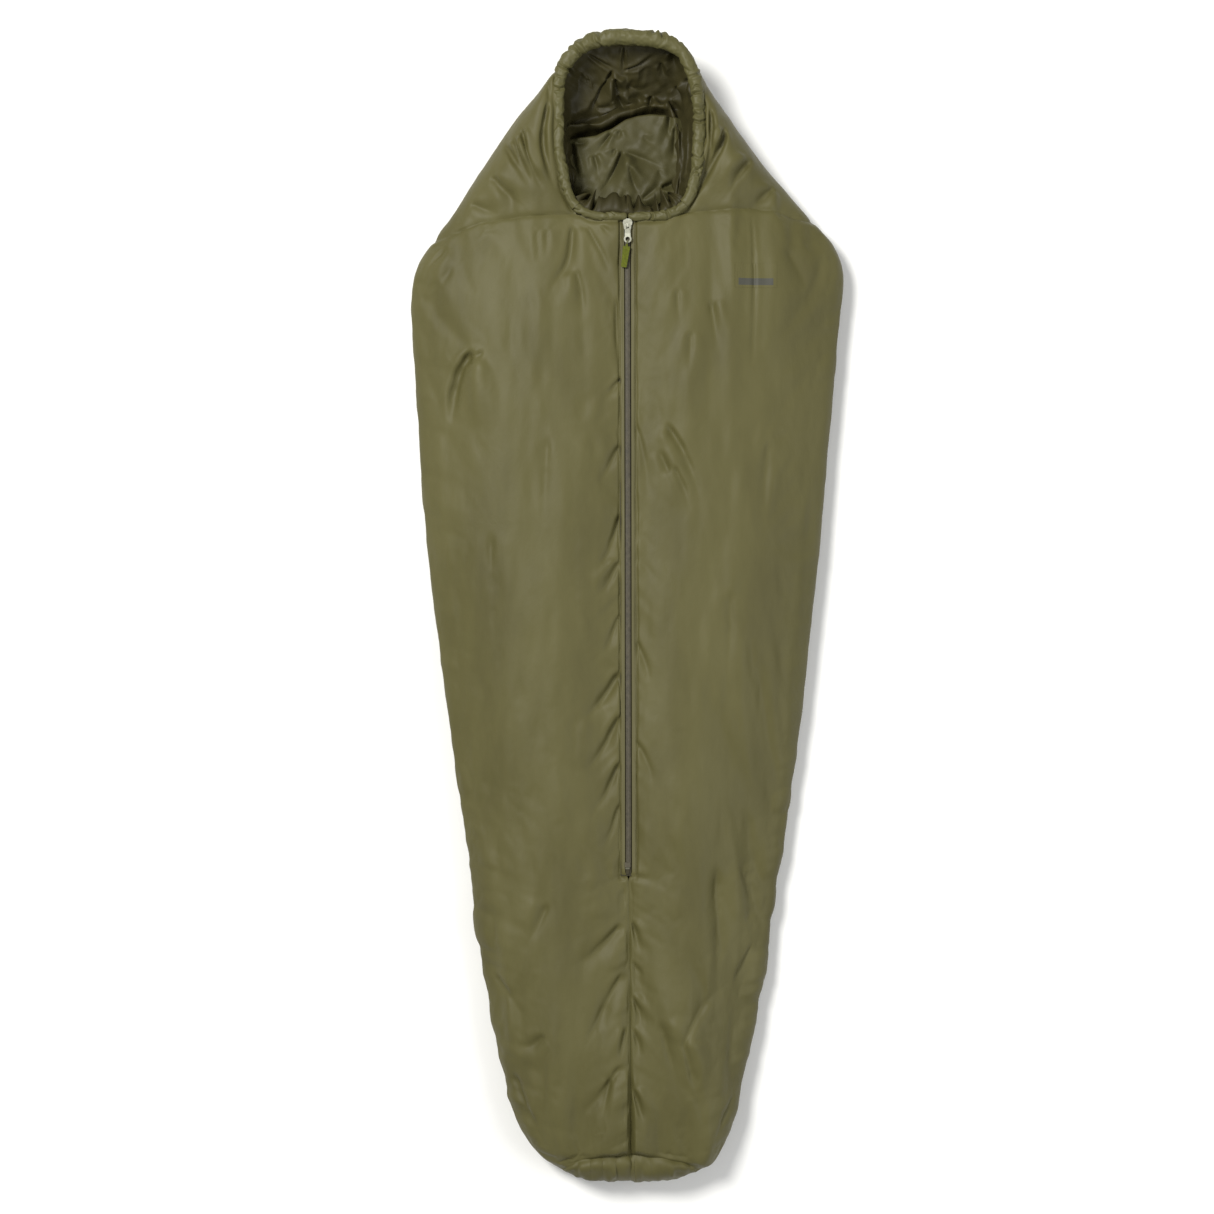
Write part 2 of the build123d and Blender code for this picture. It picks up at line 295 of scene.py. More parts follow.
# Folds of the outer cloth: plan path in mm, depth, width, skew.
SHELL_FOLDS = [
    # left chest and side
    ([(-294, 492), (-320, 452), (-335, 395), (-345, 300)], 10.0, 14, 0.45),
    ([(-276, 486), (-292, 466)], 2.5, 5, 0.0),
    ([(-104, 728), (-113, 655), (-145, 605), (-149, 570)], 5.0, 9, 0.3),
    ([(-98, 643), (-88, 605), (-86, 564), (-95, 532)], 3.5, 8, -0.3),
    ([(-78, 724), (-46, 664), (-26, 608)], 2.2, 4, 0.0),
    ([(-51, 724), (-26, 698)], 2.0, 4, 0.0),
    ([(-172, 716), (-170, 680), (-168, 632)], 1.6, 6, 0.0),
    ([(-153, 716), (-154, 690), (-158, 645)], 1.6, 6, 0.0),
    ([(-345, 690), (-385, 640), (-402, 560)], 3.5, 7, 0.3),
    ([(-330, 655), (-372, 590), (-392, 500)], 2.0, 14, 0.0),
    # left of the zip
    ([(-22, 590), (-20, 500), (-16, 420)], 4.0, 6, 0.3),
    ([(-12, 437), (-30, 412), (-48, 394)], 5.0, 7, 0.4),
    ([(-14, 310), (-34, 270), (-60, 225)], 4.5, 8, 0.3),
    ([(-14, 180), (-30, 120), (-62, 60)], 5.5, 9, 0.4),
    ([(-14, 90), (-40, 40), (-70, 10)], 4.0, 7, -0.2),
    ([(-14, -10), (-36, -70), (-60, -100)], 4.0, 8, 0.3),
    ([(-14, -120), (-46, -174), (-98, -226)], 7.0, 12, 0.4),
    ([(-14, -200), (-44, -266), (-94, -330)], 7.0, 12, 0.4),
    ([(-14, -290), (-38, -348), (-78, -410)], 6.5, 11, 0.4),
    ([(-14, -370), (-32, -430), (-50, -470)], 4.0, 7, 0.2),
    # right of the zip
    ([(16, 350), (30, 280), (38, 210)], 3.0, 7, -0.2),
    ([(72, 352), (108, 290), (132, 220), (138, 170)], 5.0, 9, -0.35),
    ([(58, 300), (80, 250), (100, 190)], 3.0, 8, 0.0),
    ([(14, -60), (34, -110), (46, -170)], 3.0, 7, -0.2),
    ([(14, -250), (40, -300), (50, -360)], 3.0, 7, -0.2),
    # right chest: one long soft crease
    ([(236, 752), (240, 650), (238, 520), (232, 396)], 1.8, 3.2, 0.0),
    ([(94, 604), (96, 562), (100, 516)], 2.5, 7, 0.0),
    ([(119, 524), (117, 480), (111, 424)], 3.0, 9, 0.0),
    ([(157, 584), (164, 535), (168, 474)], 3.0, 7, 0.2),
    ([(88, 270), (110, 215), (118, 160)], 4.0, 8, -0.3),
    ([(268, 330), (262, 200), (250, 60)], 3.2, 16, 0.0),
    ([(196, 40), (190, -110), (176, -250)], 3.2, 16, 0.0),
    ([(-262, 150), (-256, 0), (-240, -160)], 3.2, 16, 0.0),
    ([(-150, 330), (-158, 200), (-152, 70)], 2.6, 14, 0.0),
    ([(300, 690), (345, 600), (362, 480)], 2.4, 16, 0.0),
    # below the zip
    ([(-8, -600), (-58, -652), (-130, -694)], 5.0, 13, 0.35),
    ([(-8, -690), (-48, -768), (-92, -850)], 5.0, 13, 0.35),
    ([(-10, -866), (-54, -926), (-104, -990)], 4.0, 12, 0.35),
    ([(-18, -515), (10, -512), (52, -516)], 4.0, 4, 0.0),
    ([(6, -596), (16, -625), (22, -664)], 4.5, 5, 0.3),
    ([(6, -672), (20, -690), (40, -700)], 2.5, 5, 0.0),
    ([(6, -738), (18, -762), (26, -794)], 4.5, 5, 0.3),
    ([(6, -798), (18, -825), (24, -856)], 4.0, 5, 0.3),
    ([(8, -912), (20, -945), (36, -994)], 5.0, 6, 0.3),
    ([(60, -780), (88, -880), (112, -975)], 4.5, 15, 0.2),
    ([(104, -820), (126, -900), (142, -985)], 4.5, 12, 0.2),
    ([(166, -480), (172, -660), (158, -880)], 7.0, 20, 0.3),
    ([(-3, -796), (-12, -840), (-20, -876)], 3.5, 5, -0.3),
    ([(-34, -892), (-44, -940), (-51, -982)], 3.0, 6, 0.0),
    ([(-158, -812), (-190, -836), (-224, -828)], 3.5, 9, 0.0),
    ([(100, -840), (140, -760), (220, -690)], 4.0, 12, 0.3),
    ([(-150, -560), (-190, -640), (-215, -700)], 3.0, 12, -0.2),
    ([(-222, -886), (-186, -972), (-148, -1044)], 7.0, 9, -0.35),
    ([(-258, -700), (-226, -740), (-190, -800)], 4.0, 10, -0.2),
    ([(250, -640), (214, -700), (190, -780)], 3.5, 10, 0.2),
    ([(206, -930), (180, -980), (150, -1040)], 3.5, 7, 0.2),
]
# Folds of the hood's outer cloth.
HOOD_FOLDS = [
    ([(-150, 960), (-160, 880), (-140, 800), (-112, 752)], 4.5, 6, 0.0),
    ([(-202, 908), (-188, 852), (-153, 771)], 4.5, 5, 0.2),
    ([(-216, 892), (-202, 846), (-176, 790)], 3.5, 5, 0.2),
    ([(-236, 880), (-205, 830), (-170, 780)], 4.0, 9, 0.3),
    ([(-262, 820), (-226, 780), (-190, 752)], 3.0, 9, 0.0),
    ([(-300, 770), (-262, 752), (-230, 742)], 2.0, 9, 0.0),
    ([(-150, 1000), (-148, 930)], 3.0, 6, 0.0),
    ([(158, 950), (156, 870), (140, 800), (120, 756)], 4.5, 6, 0.0),
    ([(186, 912), (180, 880), (152, 826), (122, 766)], 6.5, 7, -0.3),
    ([(236, 850), (206, 810), (180, 765)], 4.0, 9, -0.3),
    ([(280, 800), (250, 770), (226, 748)], 3.0, 9, 0.0),
    ([(150, 1000), (152, 940)], 3.0, 6, 0.0),
]
# Shoulder seam: distance from the middle and y, each side.
SHOULDER = {
    -1: [(0.0, 0.736), (0.104, 0.745), (0.128, 0.744), (0.205, 0.741), (0.281, 0.7335),
         (0.338, 0.713), (0.372, 0.703)],
    1: [(0.0, 0.736), (0.104, 0.747), (0.176, 0.7545), (0.237, 0.758), (0.29, 0.7525),
        (0.338, 0.743), (0.356, 0.74)],
}
WORD = {-1: "left", 1: "right"}


def shoulder_y(x, side):
    table = np.array(SHOULDER[side])
    return np.interp(np.abs(x), table[:, 0], table[:, 1])


def foot_y(x):
    middle, drop, width = FOOT_SEAM
    share = np.abs(x) / width
    wobble = 0.0022 * np.sin(np.asarray(x) * 130) * (1 - np.clip(share, 0, 1))
    return middle - drop * np.clip(share, 0, 1.05) ** 2 + wobble


def middle_x(y):
    """Where the zip and the middle seam wander to, sideways."""
    places = [-1.05, -0.80, -0.52, -0.20, 0.20, 0.60]
    return np.interp(y, places, [0.007, 0.0065, 0.002, 0.0015, 0.0008, 0.0])


def inner_edge(y):
    """Where a front half begins: beside the zip, and at the middle seam below it."""
    return ZIP_EDGE * smooth((y - (ZIP_END_Y - 0.022)) / 0.02)


# ---- outer cloth ----
# Rows from the foot to the shoulder, closer together at the two seams.
ROW_SHARES = np.r_[np.linspace(0, 0.03, 36, endpoint=False), np.linspace(0.03, 0.985, 372, endpoint=False),
                   np.linspace(0.985, 1, 13)]
ROWS = len(ROW_SHARES) - 1
# Columns from the zip to the chin's corner, closer together beside the zip, and from there outwards.
NEAR_COLUMNS = 12
FRONT_FROM_Y, FRONT_TO_Y = -1.060, 0.742  # the fronts' ends, before the seams' curves
CHIN_COLUMNS = 36
OUTER_COLUMNS = 84


def row_path(y, side):
    """The top surface across one half at this y, densely."""
    edge = float(inner_edge(y))
    x = edge + (half_width(y, side) - edge) * (1 - (1 - np.linspace(0, 1, 160)) ** 1.8)
    return top_point(side * x, np.full(160, y), side)


def front_grid(side):
    """One front half: rows from the foot seam to the shoulder, columns from the zip outwards."""
    top = row_path(FRONT_TO_Y, side)
    length = np.r_[0, np.cumsum(np.linalg.norm(np.diff(top, axis=0), axis=1))]
    turn = np.interp(HOOD_TURN, np.abs(top[:, 0]), length) / length[-1]
    near = 0.0132 / length[-1]
    shares = np.r_[np.linspace(0, near, NEAR_COLUMNS, endpoint=False),
                   np.linspace(near, turn, CHIN_COLUMNS - NEAR_COLUMNS, endpoint=False),
                   np.linspace(turn, 1, OUTER_COLUMNS + 1)]
    points = np.zeros((ROWS + 1, len(shares), 3))
    for i, s in enumerate(ROW_SHARES):
        nominal = FRONT_FROM_Y + s * (FRONT_TO_Y - FRONT_FROM_Y)
        x = np.abs(resample(row_path(nominal, side), shares)[:, 0])
        y = foot_y(x) + (shoulder_y(x, side) - foot_y(x)) * s
        edge, edge_here = inner_edge(nominal), inner_edge(y)
        scale = (half_width(y, side) - edge_here) / (half_width(nominal, side) - edge)
        x = edge_here + (x - edge) * scale
        x[0] = edge_here[0]
        points[i] = top_point(side * x, y, side)
    points[..., 0] += middle_x(points[..., 1]) * (1 - np.linspace(0, 1, len(shares)) ** 2)
    return points


HOOD_ROWS = 300
CROWN_Y = 1.0985  # where the hood's outline turns over its top
FACE_MIDDLE = np.array([0.0, 0.90])


def hood_paths(count):
    """The hood's inner edge under the rim and its outer edge at the outline, left to right."""
    rim = np.array([(x, y) for x, y, _ in RIM[4:18]])
    outward = (rim - FACE_MIDDLE) / np.linalg.norm(rim - FACE_MIDDLE, axis=1)[:, None]
    inner = np.vstack([[(-HOOD_TURN, 0.745)], rim + 0.001 * outward, [(HOOD_TURN, 0.747)]])
    inner = through(inner, 400)
    up = 0.5 - 0.5 * np.cos(np.linspace(0, math.pi, 160))
    edges = []
    for side in (-1, 1):
        seam_y = SHOULDER[side][-1][1]
        y = seam_y + (CROWN_Y - seam_y) * up
        edges.append(np.stack([side * half_width(y, side), y], 1))
    outer = np.vstack([edges[0], [(0.0, 1.1)], edges[1][::-1]])
    return resample(inner, count), resample(outer, count)


def hood_grid(front_left, front_right):
    """The hood as one sheet: rows fan round the face from the left shoulder seam to the right."""
    inner, outer = hood_paths(HOOD_ROWS + 1)
    first = front_left[-1, CHIN_COLUMNS:]
    last = front_right[-1, CHIN_COLUMNS:]
    even = np.linspace(0, 1, OUTER_COLUMNS + 1)
    points = np.zeros((HOOD_ROWS + 1, OUTER_COLUMNS + 1, 3))
    for i, t in enumerate(np.linspace(0, 1, HOOD_ROWS + 1)):
        r = 1 - (1 - np.linspace(0, 1, 80)) ** 1.8
        plan = inner[i] + (outer[i] - inner[i]) * r[:, None]
        side = -1 if t < 0.5 else 1
        section = top_point(plan[:, 0], plan[:, 1], side)[:, 2]
        rest = seam_z(plan[:, 1])
        width = np.linalg.norm(outer[i] - inner[i])
        puff = min(0.014, 0.16 * width) * np.sin(np.pi * r) ** 0.8
        radial = rest + (top_z(plan[:, 1]) + 0.002 - rest) * profile(r) + puff
        mixed = smooth(min(t, 1 - t) / 0.14)
        z = section * (1 - mixed) + radial * mixed
        points[i] = resample(np.column_stack([plan, z]), even)
    # the two end rows are the shoulder seams, shared with the fronts
    start, end = first - points[0], last - points[HOOD_ROWS]
    easing = 24
    for k in range(easing):
        points[k] += start * (1 - k / easing)
        points[HOOD_ROWS - k] += end * (1 - k / easing)
    return points


def foot_grid(front_left, front_right):
    """The foot's end panel, gathered between the seam on top and the seam underneath."""
    top = np.vstack([front_left[0, ::-1], front_right[0, 1:]])
    x = top[:, 0]
    toe = DENSE_OUTLINE[DENSE_OUTLINE[:, 0] < -1.03]
    out = np.where(x < 0, np.interp(-x, toe[:, 1], toe[:, 0]), np.interp(x, toe[:, 2], toe[:, 0]))
    out += 0.0070 * smooth((0.134 - np.abs(x)) / 0.03)
    low = bottom_z(top)
    # at the corners the two seams meet
    closed = smooth((np.abs(x) / np.where(x < 0, -x[0], x[-1]) - 0.90) / 0.10)
    low += (top[:, 2] - low) * closed
    out += (top[:, 1] - out) * closed
    shares = np.linspace(0, 1, 65)
    points = []
    for share in shares:
        cosine, sine = math.cos(math.pi * share), math.sin(math.pi * share)
        middle, half = (top[:, 2] + low) / 2, (top[:, 2] - low) / 2
        y = top[:, 1] + (out - top[:, 1]) * sine**0.8
        points.append(np.column_stack([x, y, middle + half * cosine]))
    grid = np.array(points)
    where, down = np.broadcast_arrays(x, shares[:, None])
    at = np.stack([where, 0.06 * down, 0 * where], -1).reshape(-1, 3)
    gather = (noise(at, 0.0085, 180) + 0.6 * noise(at, 0.017, 181)).reshape(where.shape)
    held = (1 - np.exp(-down / 0.035)) * (1 - np.exp(-(1 - down) / 0.035))
    corners = smooth((0.128 - np.abs(where)) / 0.03)
    height = held * corners * (0.0075 + 0.0056 * gather * np.exp(-down / 0.45))
    normal = normals_of(grid)
    normal *= -np.sign(normal[..., 1].mean())
    grid += normal * height[..., None]
    grid[1:, :, 2] = np.maximum(grid[1:, :, 2], 0.0008)
    return grid


def turned_up(share):
    """How far the underside has turned up to the side seam, by share of the half width."""
    return 1 - np.sqrt(np.clip(1 - share**5, 0, 1))


def bottom_z(points):
    """Height of the underside under these points."""
    x, y = points[:, 0], points[:, 1]
    share = np.clip(np.abs(x) / np.maximum(width_at(points), 1e-4), 0, 1)
    low = 0.0008 + 0.055 * np.clip((y - 0.98) / 0.12, 0, 1) ** 2
    return low + (seam_z(y) - low) * turned_up(share)


def back_grid(left, right, foot):
    """The underside, from the foot seam to the crown, sewn to the top's two side edges."""
    across = np.linspace(-1, 1, 101)
    across = np.sign(across) * (1 - (1 - np.abs(across)) ** 1.6)
    points = []
    for a, b in zip(resample(left, 420), resample(right, 420)):
        share = np.abs(across)
        y = np.where(across < 0, a[1], b[1]) * share + (a[1] + b[1]) / 2 * (1 - share)
        x = np.where(across < 0, -a[0], b[0]) * across
        edge_z = np.where(across < 0, a[2], b[2])
        low = 0.0010 + 0.060 * np.clip((y - 0.98) / 0.12, 0, 1) ** 2
        low += 0.0010 * noise(np.stack([x, y, 0 * x], -1), 0.05, 130) * (share < 0.98)
        z = np.maximum(low, 0.0006) + (edge_z - low) * turned_up(share)
        points.append(np.column_stack([x, y, z]))
    grid = np.array(points)
    # the first rows meet the end panel's lower edge
    target = resample(foot, (across + 1) / 2)
    easing = 12
    for k in range(1, easing):
        grid[k] += (target - grid[0]) * float(smooth(1 - k / easing))
    grid[0] = target
    return grid


def normals_of(grid):
    """Unit normals of a grid of points, facing up on the whole."""
    along_rows = np.gradient(grid, axis=0)
    along_columns = np.gradient(grid, axis=1)
    normal = np.cross(along_columns, along_rows)
    normal /= np.maximum(np.linalg.norm(normal, axis=2, keepdims=True), 1e-9)
    return normal if normal[..., 2].sum() > 0 else -normal


def seam_ease(points):
    """Nought where a seam or the zip's facing holds the cloth flat, one away from them."""
    x, y = np.abs(points[:, 0] - middle_x(points[:, 1])), points[:, 1]
    beside_zip = smooth((y - (ZIP_END_Y - 0.02)) / 0.02)
    ease = smooth((x - 0.009) / 0.010) * beside_zip + smooth(x / 0.010) * (1 - beside_zip)
    ease *= smooth((y - foot_y(x)) / 0.014)
    return np.where(y > HOOD_FROM_Y, 1.0, ease)


def fold_height(points):
    """Height of all the folds and puckers of the outer cloth over these points."""
    height = creases(points, SHELL_FOLDS, 1.4) + creases(points, HOOD_FOLDS, 1.7)
    front = points[:, 1] < HOOD_FROM_Y
    legs = smooth((0.05 - points[:, 1]) / 0.5)
    # puckers along the zip's facings, the middle seam, the shoulders, the sides and the foot
    for side in (-1, 1):
        facing = np.array([(side * FACING, ZIP_END_Y), (side * FACING, 0.73)])
        strength = 0.0048 if side < 0 else 0.0030
        height += pucker(points, facing, strength, 0.034, 0.030, 20 + side, lean=0.9)
        table = np.array([(side * x, y) for x, y in SHOULDER[side]])
        height += pucker(points, table, 0.0024, 0.030, 0.022, 30 + side)
    middle = np.array([(0.0, -1.05), (0.0, ZIP_END_Y - 0.01)])
    height += front * pucker(points, middle, 0.0056, 0.030, 0.021, 40, lean=0.5)
    x = np.linspace(-0.13, 0.13, 20)
    foot = np.column_stack([x, foot_y(x)])
    height += front * pucker(points, foot, 0.0040, 0.045, 0.018, 50)
    chin = np.array([(-0.10, 0.737), (0.10, 0.737)])
    height += front * pucker(points, chin, 0.0030, 0.030, 0.014, 55)
    # broad softness
    height += (0.0066 + 0.0062 * legs) * noise(points * [1, 0.20, 1], 0.085, 60)
    height += (0.0054 + 0.0058 * legs) * noise(points * [1, 0.17, 1], 0.042, 62)
    height += (0.0020 + 0.0004 * legs) * noise(points * [1, 0.30, 1], 0.020, 61)
    # the right leg's cloth stands in a long swell that falls away outwards
    x, y = points[:, 0], points[:, 1]
    swell = smooth((-0.14 - y) / 0.24) * smooth((y + 1.03) / 0.12) * smooth((x - 0.03) / 0.06)
    height += 0.0115 * swell * np.tanh((0.158 + 0.03 * noise(points * [0, 1, 0], 0.16, 65) - x) / 0.026)
    # the cloth lies low under the puller's grip
    under = np.exp(-(points[:, 0] / 0.032) ** 2 - ((points[:, 1] - GRIP_Y) / 0.034) ** 2)
    height -= under * (0.0024 + 0.8 * np.clip(height, 0, None))
    return height * seam_ease(points)


def joined(hood, front_left, front_right):
    """The dressed hood, drawn to the dressed fronts along the shoulder seams."""
    start = front_left[-1, CHIN_COLUMNS:] - hood[0]
    end = front_right[-1, CHIN_COLUMNS:] - hood[-1]
    easing = 30
    for k in range(easing):
        weight = float(smooth(1 - k / easing))
        hood[k] += start * weight
        hood[-1 - k] += end * weight
    return hood


def sewn_lines(points):
    """Narrow grooves where seams pull the cloth down."""
    x, y = points[:, 0] - middle_x(points[:, 1]), points[:, 1]
    below_zip = smooth((ZIP_END_Y - 0.004 - y) / 0.02)
    depth = below_zip * 0.0050 * np.exp(-(np.abs(x) / 0.0048) ** 1.2)
    beside = np.abs(np.abs(x) - FACING)
    depth += (1 - below_zip) * 0.0040 * np.exp(-(beside / 0.0022) ** 2) * (y < 0.74)
    for side in (-1, 1):
        line = np.array([(side * u, v) for u, v in SHOULDER[side][1:]])
        distance, _, _ = along(points[:, :2], line)
        depth += 0.0042 * np.exp(-(distance / 0.0055) ** 1.3)
    # the foot's seam and the seam that holds the rim
    across = np.linspace(-0.16, 0.16, 60)
    distance, _, _ = along(points[:, :2], np.column_stack([across, foot_y(across)]))
    corners = smooth((0.150 - np.abs(x)) / 0.05)
    depth += corners * (y < -1.0) * 0.0110 * np.exp(-(distance / 0.0075) ** 1.2)
    rim = np.array(RIM)
    distance, _, _ = along(points[:, :2], rim[:, :2])
    beyond = np.clip(distance - 0.009, 0, None)
    depth += 0.0050 * np.exp(-(beyond / 0.006) ** 2) * smooth((distance - 0.002) / 0.008)
    return depth


def side_puckers(points):
    """Gathers along the side seams, strongest beside the legs."""
    x, y = points[:, 0], points[:, 1]
    side = np.where(x < 0, -1, 1)
    inside = width_at(points) - np.abs(x)
    legs = 0.35 + 0.65 * smooth((-0.2 - y) / 0.35)
    at = np.stack([y + 0.35 * inside, side * 2.0, inside * 0.3], -1)
    wave = noise(at, 0.026, 70) + 0.4 * noise(at, 0.013, 71)
    return 0.0082 * legs * wave * np.exp(-inside / 0.035) * (0.45 + 0.55 * smooth(inside / 0.02))


def dressed(grid):
    """A grid of the outer cloth with its folds, puckers and seam grooves."""
    shape = grid.shape
    flat = grid.reshape(-1, 3)
    calm = 0.2 + 0.8 * smooth((width_at(flat) - np.abs(flat[:, 0])) / 0.045)
    height = fold_height(flat) * calm + side_puckers(flat) - sewn_lines(flat)
    return (flat + normals_of(grid).reshape(-1, 3) * height[:, None]).reshape(shape)


def pressed(grid, folds, strength):
    """A relaxed grid with its folds pressed in again, but not at the rows sewn to another piece."""
    flat = grid.reshape(-1, 3)
    height = creases(flat, folds, strength)
    height *= seam_ease(flat) * smooth((width_at(flat) - np.abs(flat[:, 0])) / 0.03)
    rows = np.arange(len(grid))[:, None]
    sewn = smooth(np.minimum(rows, len(grid) - 1 - rows) / 10)
    return grid + normals_of(grid) * (height.reshape(grid.shape[:2]) * sewn)[..., None]


CEILING = 0.1475  # the height that no fold rises far above


def lowered(grid):
    """A grid whose highest folds are pressed down softly."""
    over = np.clip(grid[..., 2] - CEILING, 0, None)
    grid[..., 2] -= over - 0.004 * np.tanh(over / 0.004)
    return grid


# ---- cloth pieces ----
def steps(grid, axis):
    """Length along a grid's rows or columns, from its first point."""
    step = np.linalg.norm(np.diff(grid, axis=axis), axis=2)
    start = np.zeros((1, grid.shape[1])) if axis == 0 else np.zeros((grid.shape[0], 1))
    return np.cumsum(np.concatenate([start, step], axis=axis), axis=axis)


def cloth(name, grids, material, facing=(0, 0, 1), wrap=False):
    """One piece of cloth from grids of points, its faces turned to this side, its UVs in metres."""
    verts, faces, uvs = [], [], []
    count = 0
    for grid in grids:
        rows, columns = grid.shape[:2]
        part = grid_faces(rows, columns, wrap)
        a, b, c = (grid.reshape(-1, 3)[part[:, k]] for k in (0, 1, 2))
        normal = np.cross(b - a, c - a).sum(axis=0)
        if normal @ np.array(facing, float) < 0:
            part = part[:, ::-1]
        faces.append(part + count)
        verts.append(grid.reshape(-1, 3))
        uvs.append(np.stack([steps(grid, 1), steps(grid, 0)], -1).reshape(-1, 2))
        count += rows * columns
    obj = make_mesh(name, np.vstack(verts), np.vstack(faces), material)
    mesh = obj.data
    corners = np.empty(len(mesh.loops), int)
    mesh.loops.foreach_get("vertex_index", corners)
    layer = mesh.uv_layers.new(name="cloth")
    layer.data.foreach_set("uv", np.vstack(uvs)[corners].ravel().astype(np.float32))
    return obj


# ---- inside of the fronts ----
LINING_DEPTH = 0.0165


def widened(depth):
    """The greatest of each value and its neighbours two steps away, then evened out."""
    for axis in (0, 1):
        depth = np.maximum.reduce([np.roll(depth, shift, axis) for shift in (-2, -1, 0, 1, 2)])
    for axis in (0, 1):
        depth = np.mean([np.roll(depth, shift, axis) for shift in (-1, 0, 1)], axis=0)
    return depth


def front_lining_grid(grid, outer, side):
    """The lining under one front half, turned up over the padding at the zip.

    It follows the plain shape, and stays under the folds of the outer cloth.
    """
    flat, cover = grid[::2, ::2], outer[::2, ::2]
    inside = np.abs(flat[:, -1:, 0] - flat[..., 0])
    normal = normals_of(flat)
    dip = widened(np.clip(((flat - cover) * normal).sum(axis=2), 0, None))
    depth = 0.004 + (LINING_DEPTH - 0.004) * smooth(inside / 0.05) + dip
    height = 0.0035 * noise(flat.reshape(-1, 3) * [1, 0.5, 1], 0.045, 90).reshape(inside.shape)
    height += 0.0020 * noise(flat.reshape(-1, 3), 0.018, 91).reshape(inside.shape)
    inner = flat - normal * (depth + height * smooth(inside / 0.03))[..., None]
    inner[..., 2] = np.maximum(inner[..., 2], 0.02)
    inner[..., 0] -= side * 0.004 * (1 - smooth(inside / 0.05))
    edge = cover[:, :1]
    turn = [edge - [0, 0, 0.0012], edge - [side * 0.0006, 0, 0.0060], edge - [0, 0, 0.0125]]
    return np.concatenate([*turn, inner[:, 2:]], axis=1)


CHIN_ROWS, CHIN_STEPS = 34, 90


def chin_grid(side):
    """The gathered lining that rolls over the chin's edge inside the rim."""
    line = np.array([(x, y) for x, y, _ in (RIM[:5] if side < 0 else RIM[::-1][:5])])
    line[0, 0] = -side * 0.0014
    line = through(line, 110)
    line = line[line[:, 1] < 0.775]
    line = resample(line, CHIN_STEPS)
    tangent = np.gradient(line, axis=0)
    tangent /= np.linalg.norm(tangent, axis=1)[:, None]
    inward = np.stack([-tangent[:, 1], tangent[:, 0]], 1)
    inward *= np.sign(inward[:, 1].mean())
    run = np.r_[0, np.cumsum(np.linalg.norm(np.diff(line, axis=0), axis=1))]
    section = [(0.004, -0.003), (0.010, 0.000), (0.018, -0.002), (0.027, -0.009), (0.035, -0.021),
               (0.037, -0.036), (0.028, -0.044), (0.014, -0.036), (0.002, -0.024), (-0.006, -0.017)]
    section = through(section, CHIN_ROWS)
    points = []
    for k, (out, down) in enumerate(section):
        share = k / (CHIN_ROWS - 1)
        at = np.stack([run + 0.010 * share, 0 * run + side * 2.0, 0 * run + share * 0.012], -1)
        pleat = 2.4 * np.abs(noise(at, 0.019, 95)) - 0.8 + 1.2 * noise(at, 0.0085, 96)
        sway = noise(at, 0.028, 97)
        grow = 1 + 0.50 * sway + 0.34 * pleat * math.sin(math.pi * min(share * 1.3, 1))
        plan = line + inward * (out * grow)[:, None]
        z = front_z(plan[:, 1]) + down - 0.003 + 0.0120 * pleat * math.sin(math.pi * share)
        points.append(np.column_stack([plan, z]))
    return np.array(points)


# ---- inside of the hood ----
RIDGE = [(-0.14, 0.9), (-0.11, 0.897), (-0.06, 0.903), (-0.029, 0.917), (-0.003, 0.934),
         (0.02, 0.941), (0.044, 0.944), (0.08, 0.941), (0.11, 0.934), (0.14, 0.930)]
# Folds of the lining over the back of the head and neck.
PILLOW_FOLDS = [
    ([(-11, 878), (-20, 852), (-38, 815), (-58, 790)], 11.0, 7, 0.5),
    ([(-9, 873), (26, 863), (60, 848), (98, 832)], 5.5, 10, -0.3),
    ([(2, 846), (13, 812), (26, 780)], 5.0, 5, 0.2),
    ([(-30, 912), (-47, 889), (-64, 868)], 6.0, 4.5, 0.0),
    ([(-64, 870), (-58, 846), (-56, 820)], 5.0, 5, 0.0),
    ([(-15, 916), (-18, 894)], 4.0, 4, 0.0),
    ([(-24, 880), (-30, 862)], 3.5, 4, 0.0),
    ([(64, 804), (88, 815), (110, 829)], 9.0, 6, -0.3),
    ([(-8, 780), (-6, 806)], 3.5, 5, 0.0),
    ([(28, 782), (50, 800), (74, 818)], 3.5, 5, 0.0),
    ([(82, 946), (80, 915), (81, 885)], 7.0, 6, 0.0),
    ([(92, 925), (90, 880), (84, 845)], 6.0, 5, 0.0),
    ([(-108, 896), (-101, 852), (-86, 796)], 7.0, 5, 0.0),
    ([(-96, 780), (-70, 790), (-50, 778)], 6.0, 6, 0.0),
    ([(-100, 890), (-84, 892), (-66, 904)], 4.0, 5, 0.0),
    ([(30, 905), (42, 893), (58, 892)], 1.6, 5, 0.0),
    ([(60, 840), (72, 812)], 2.0, 6, 0.0),
]
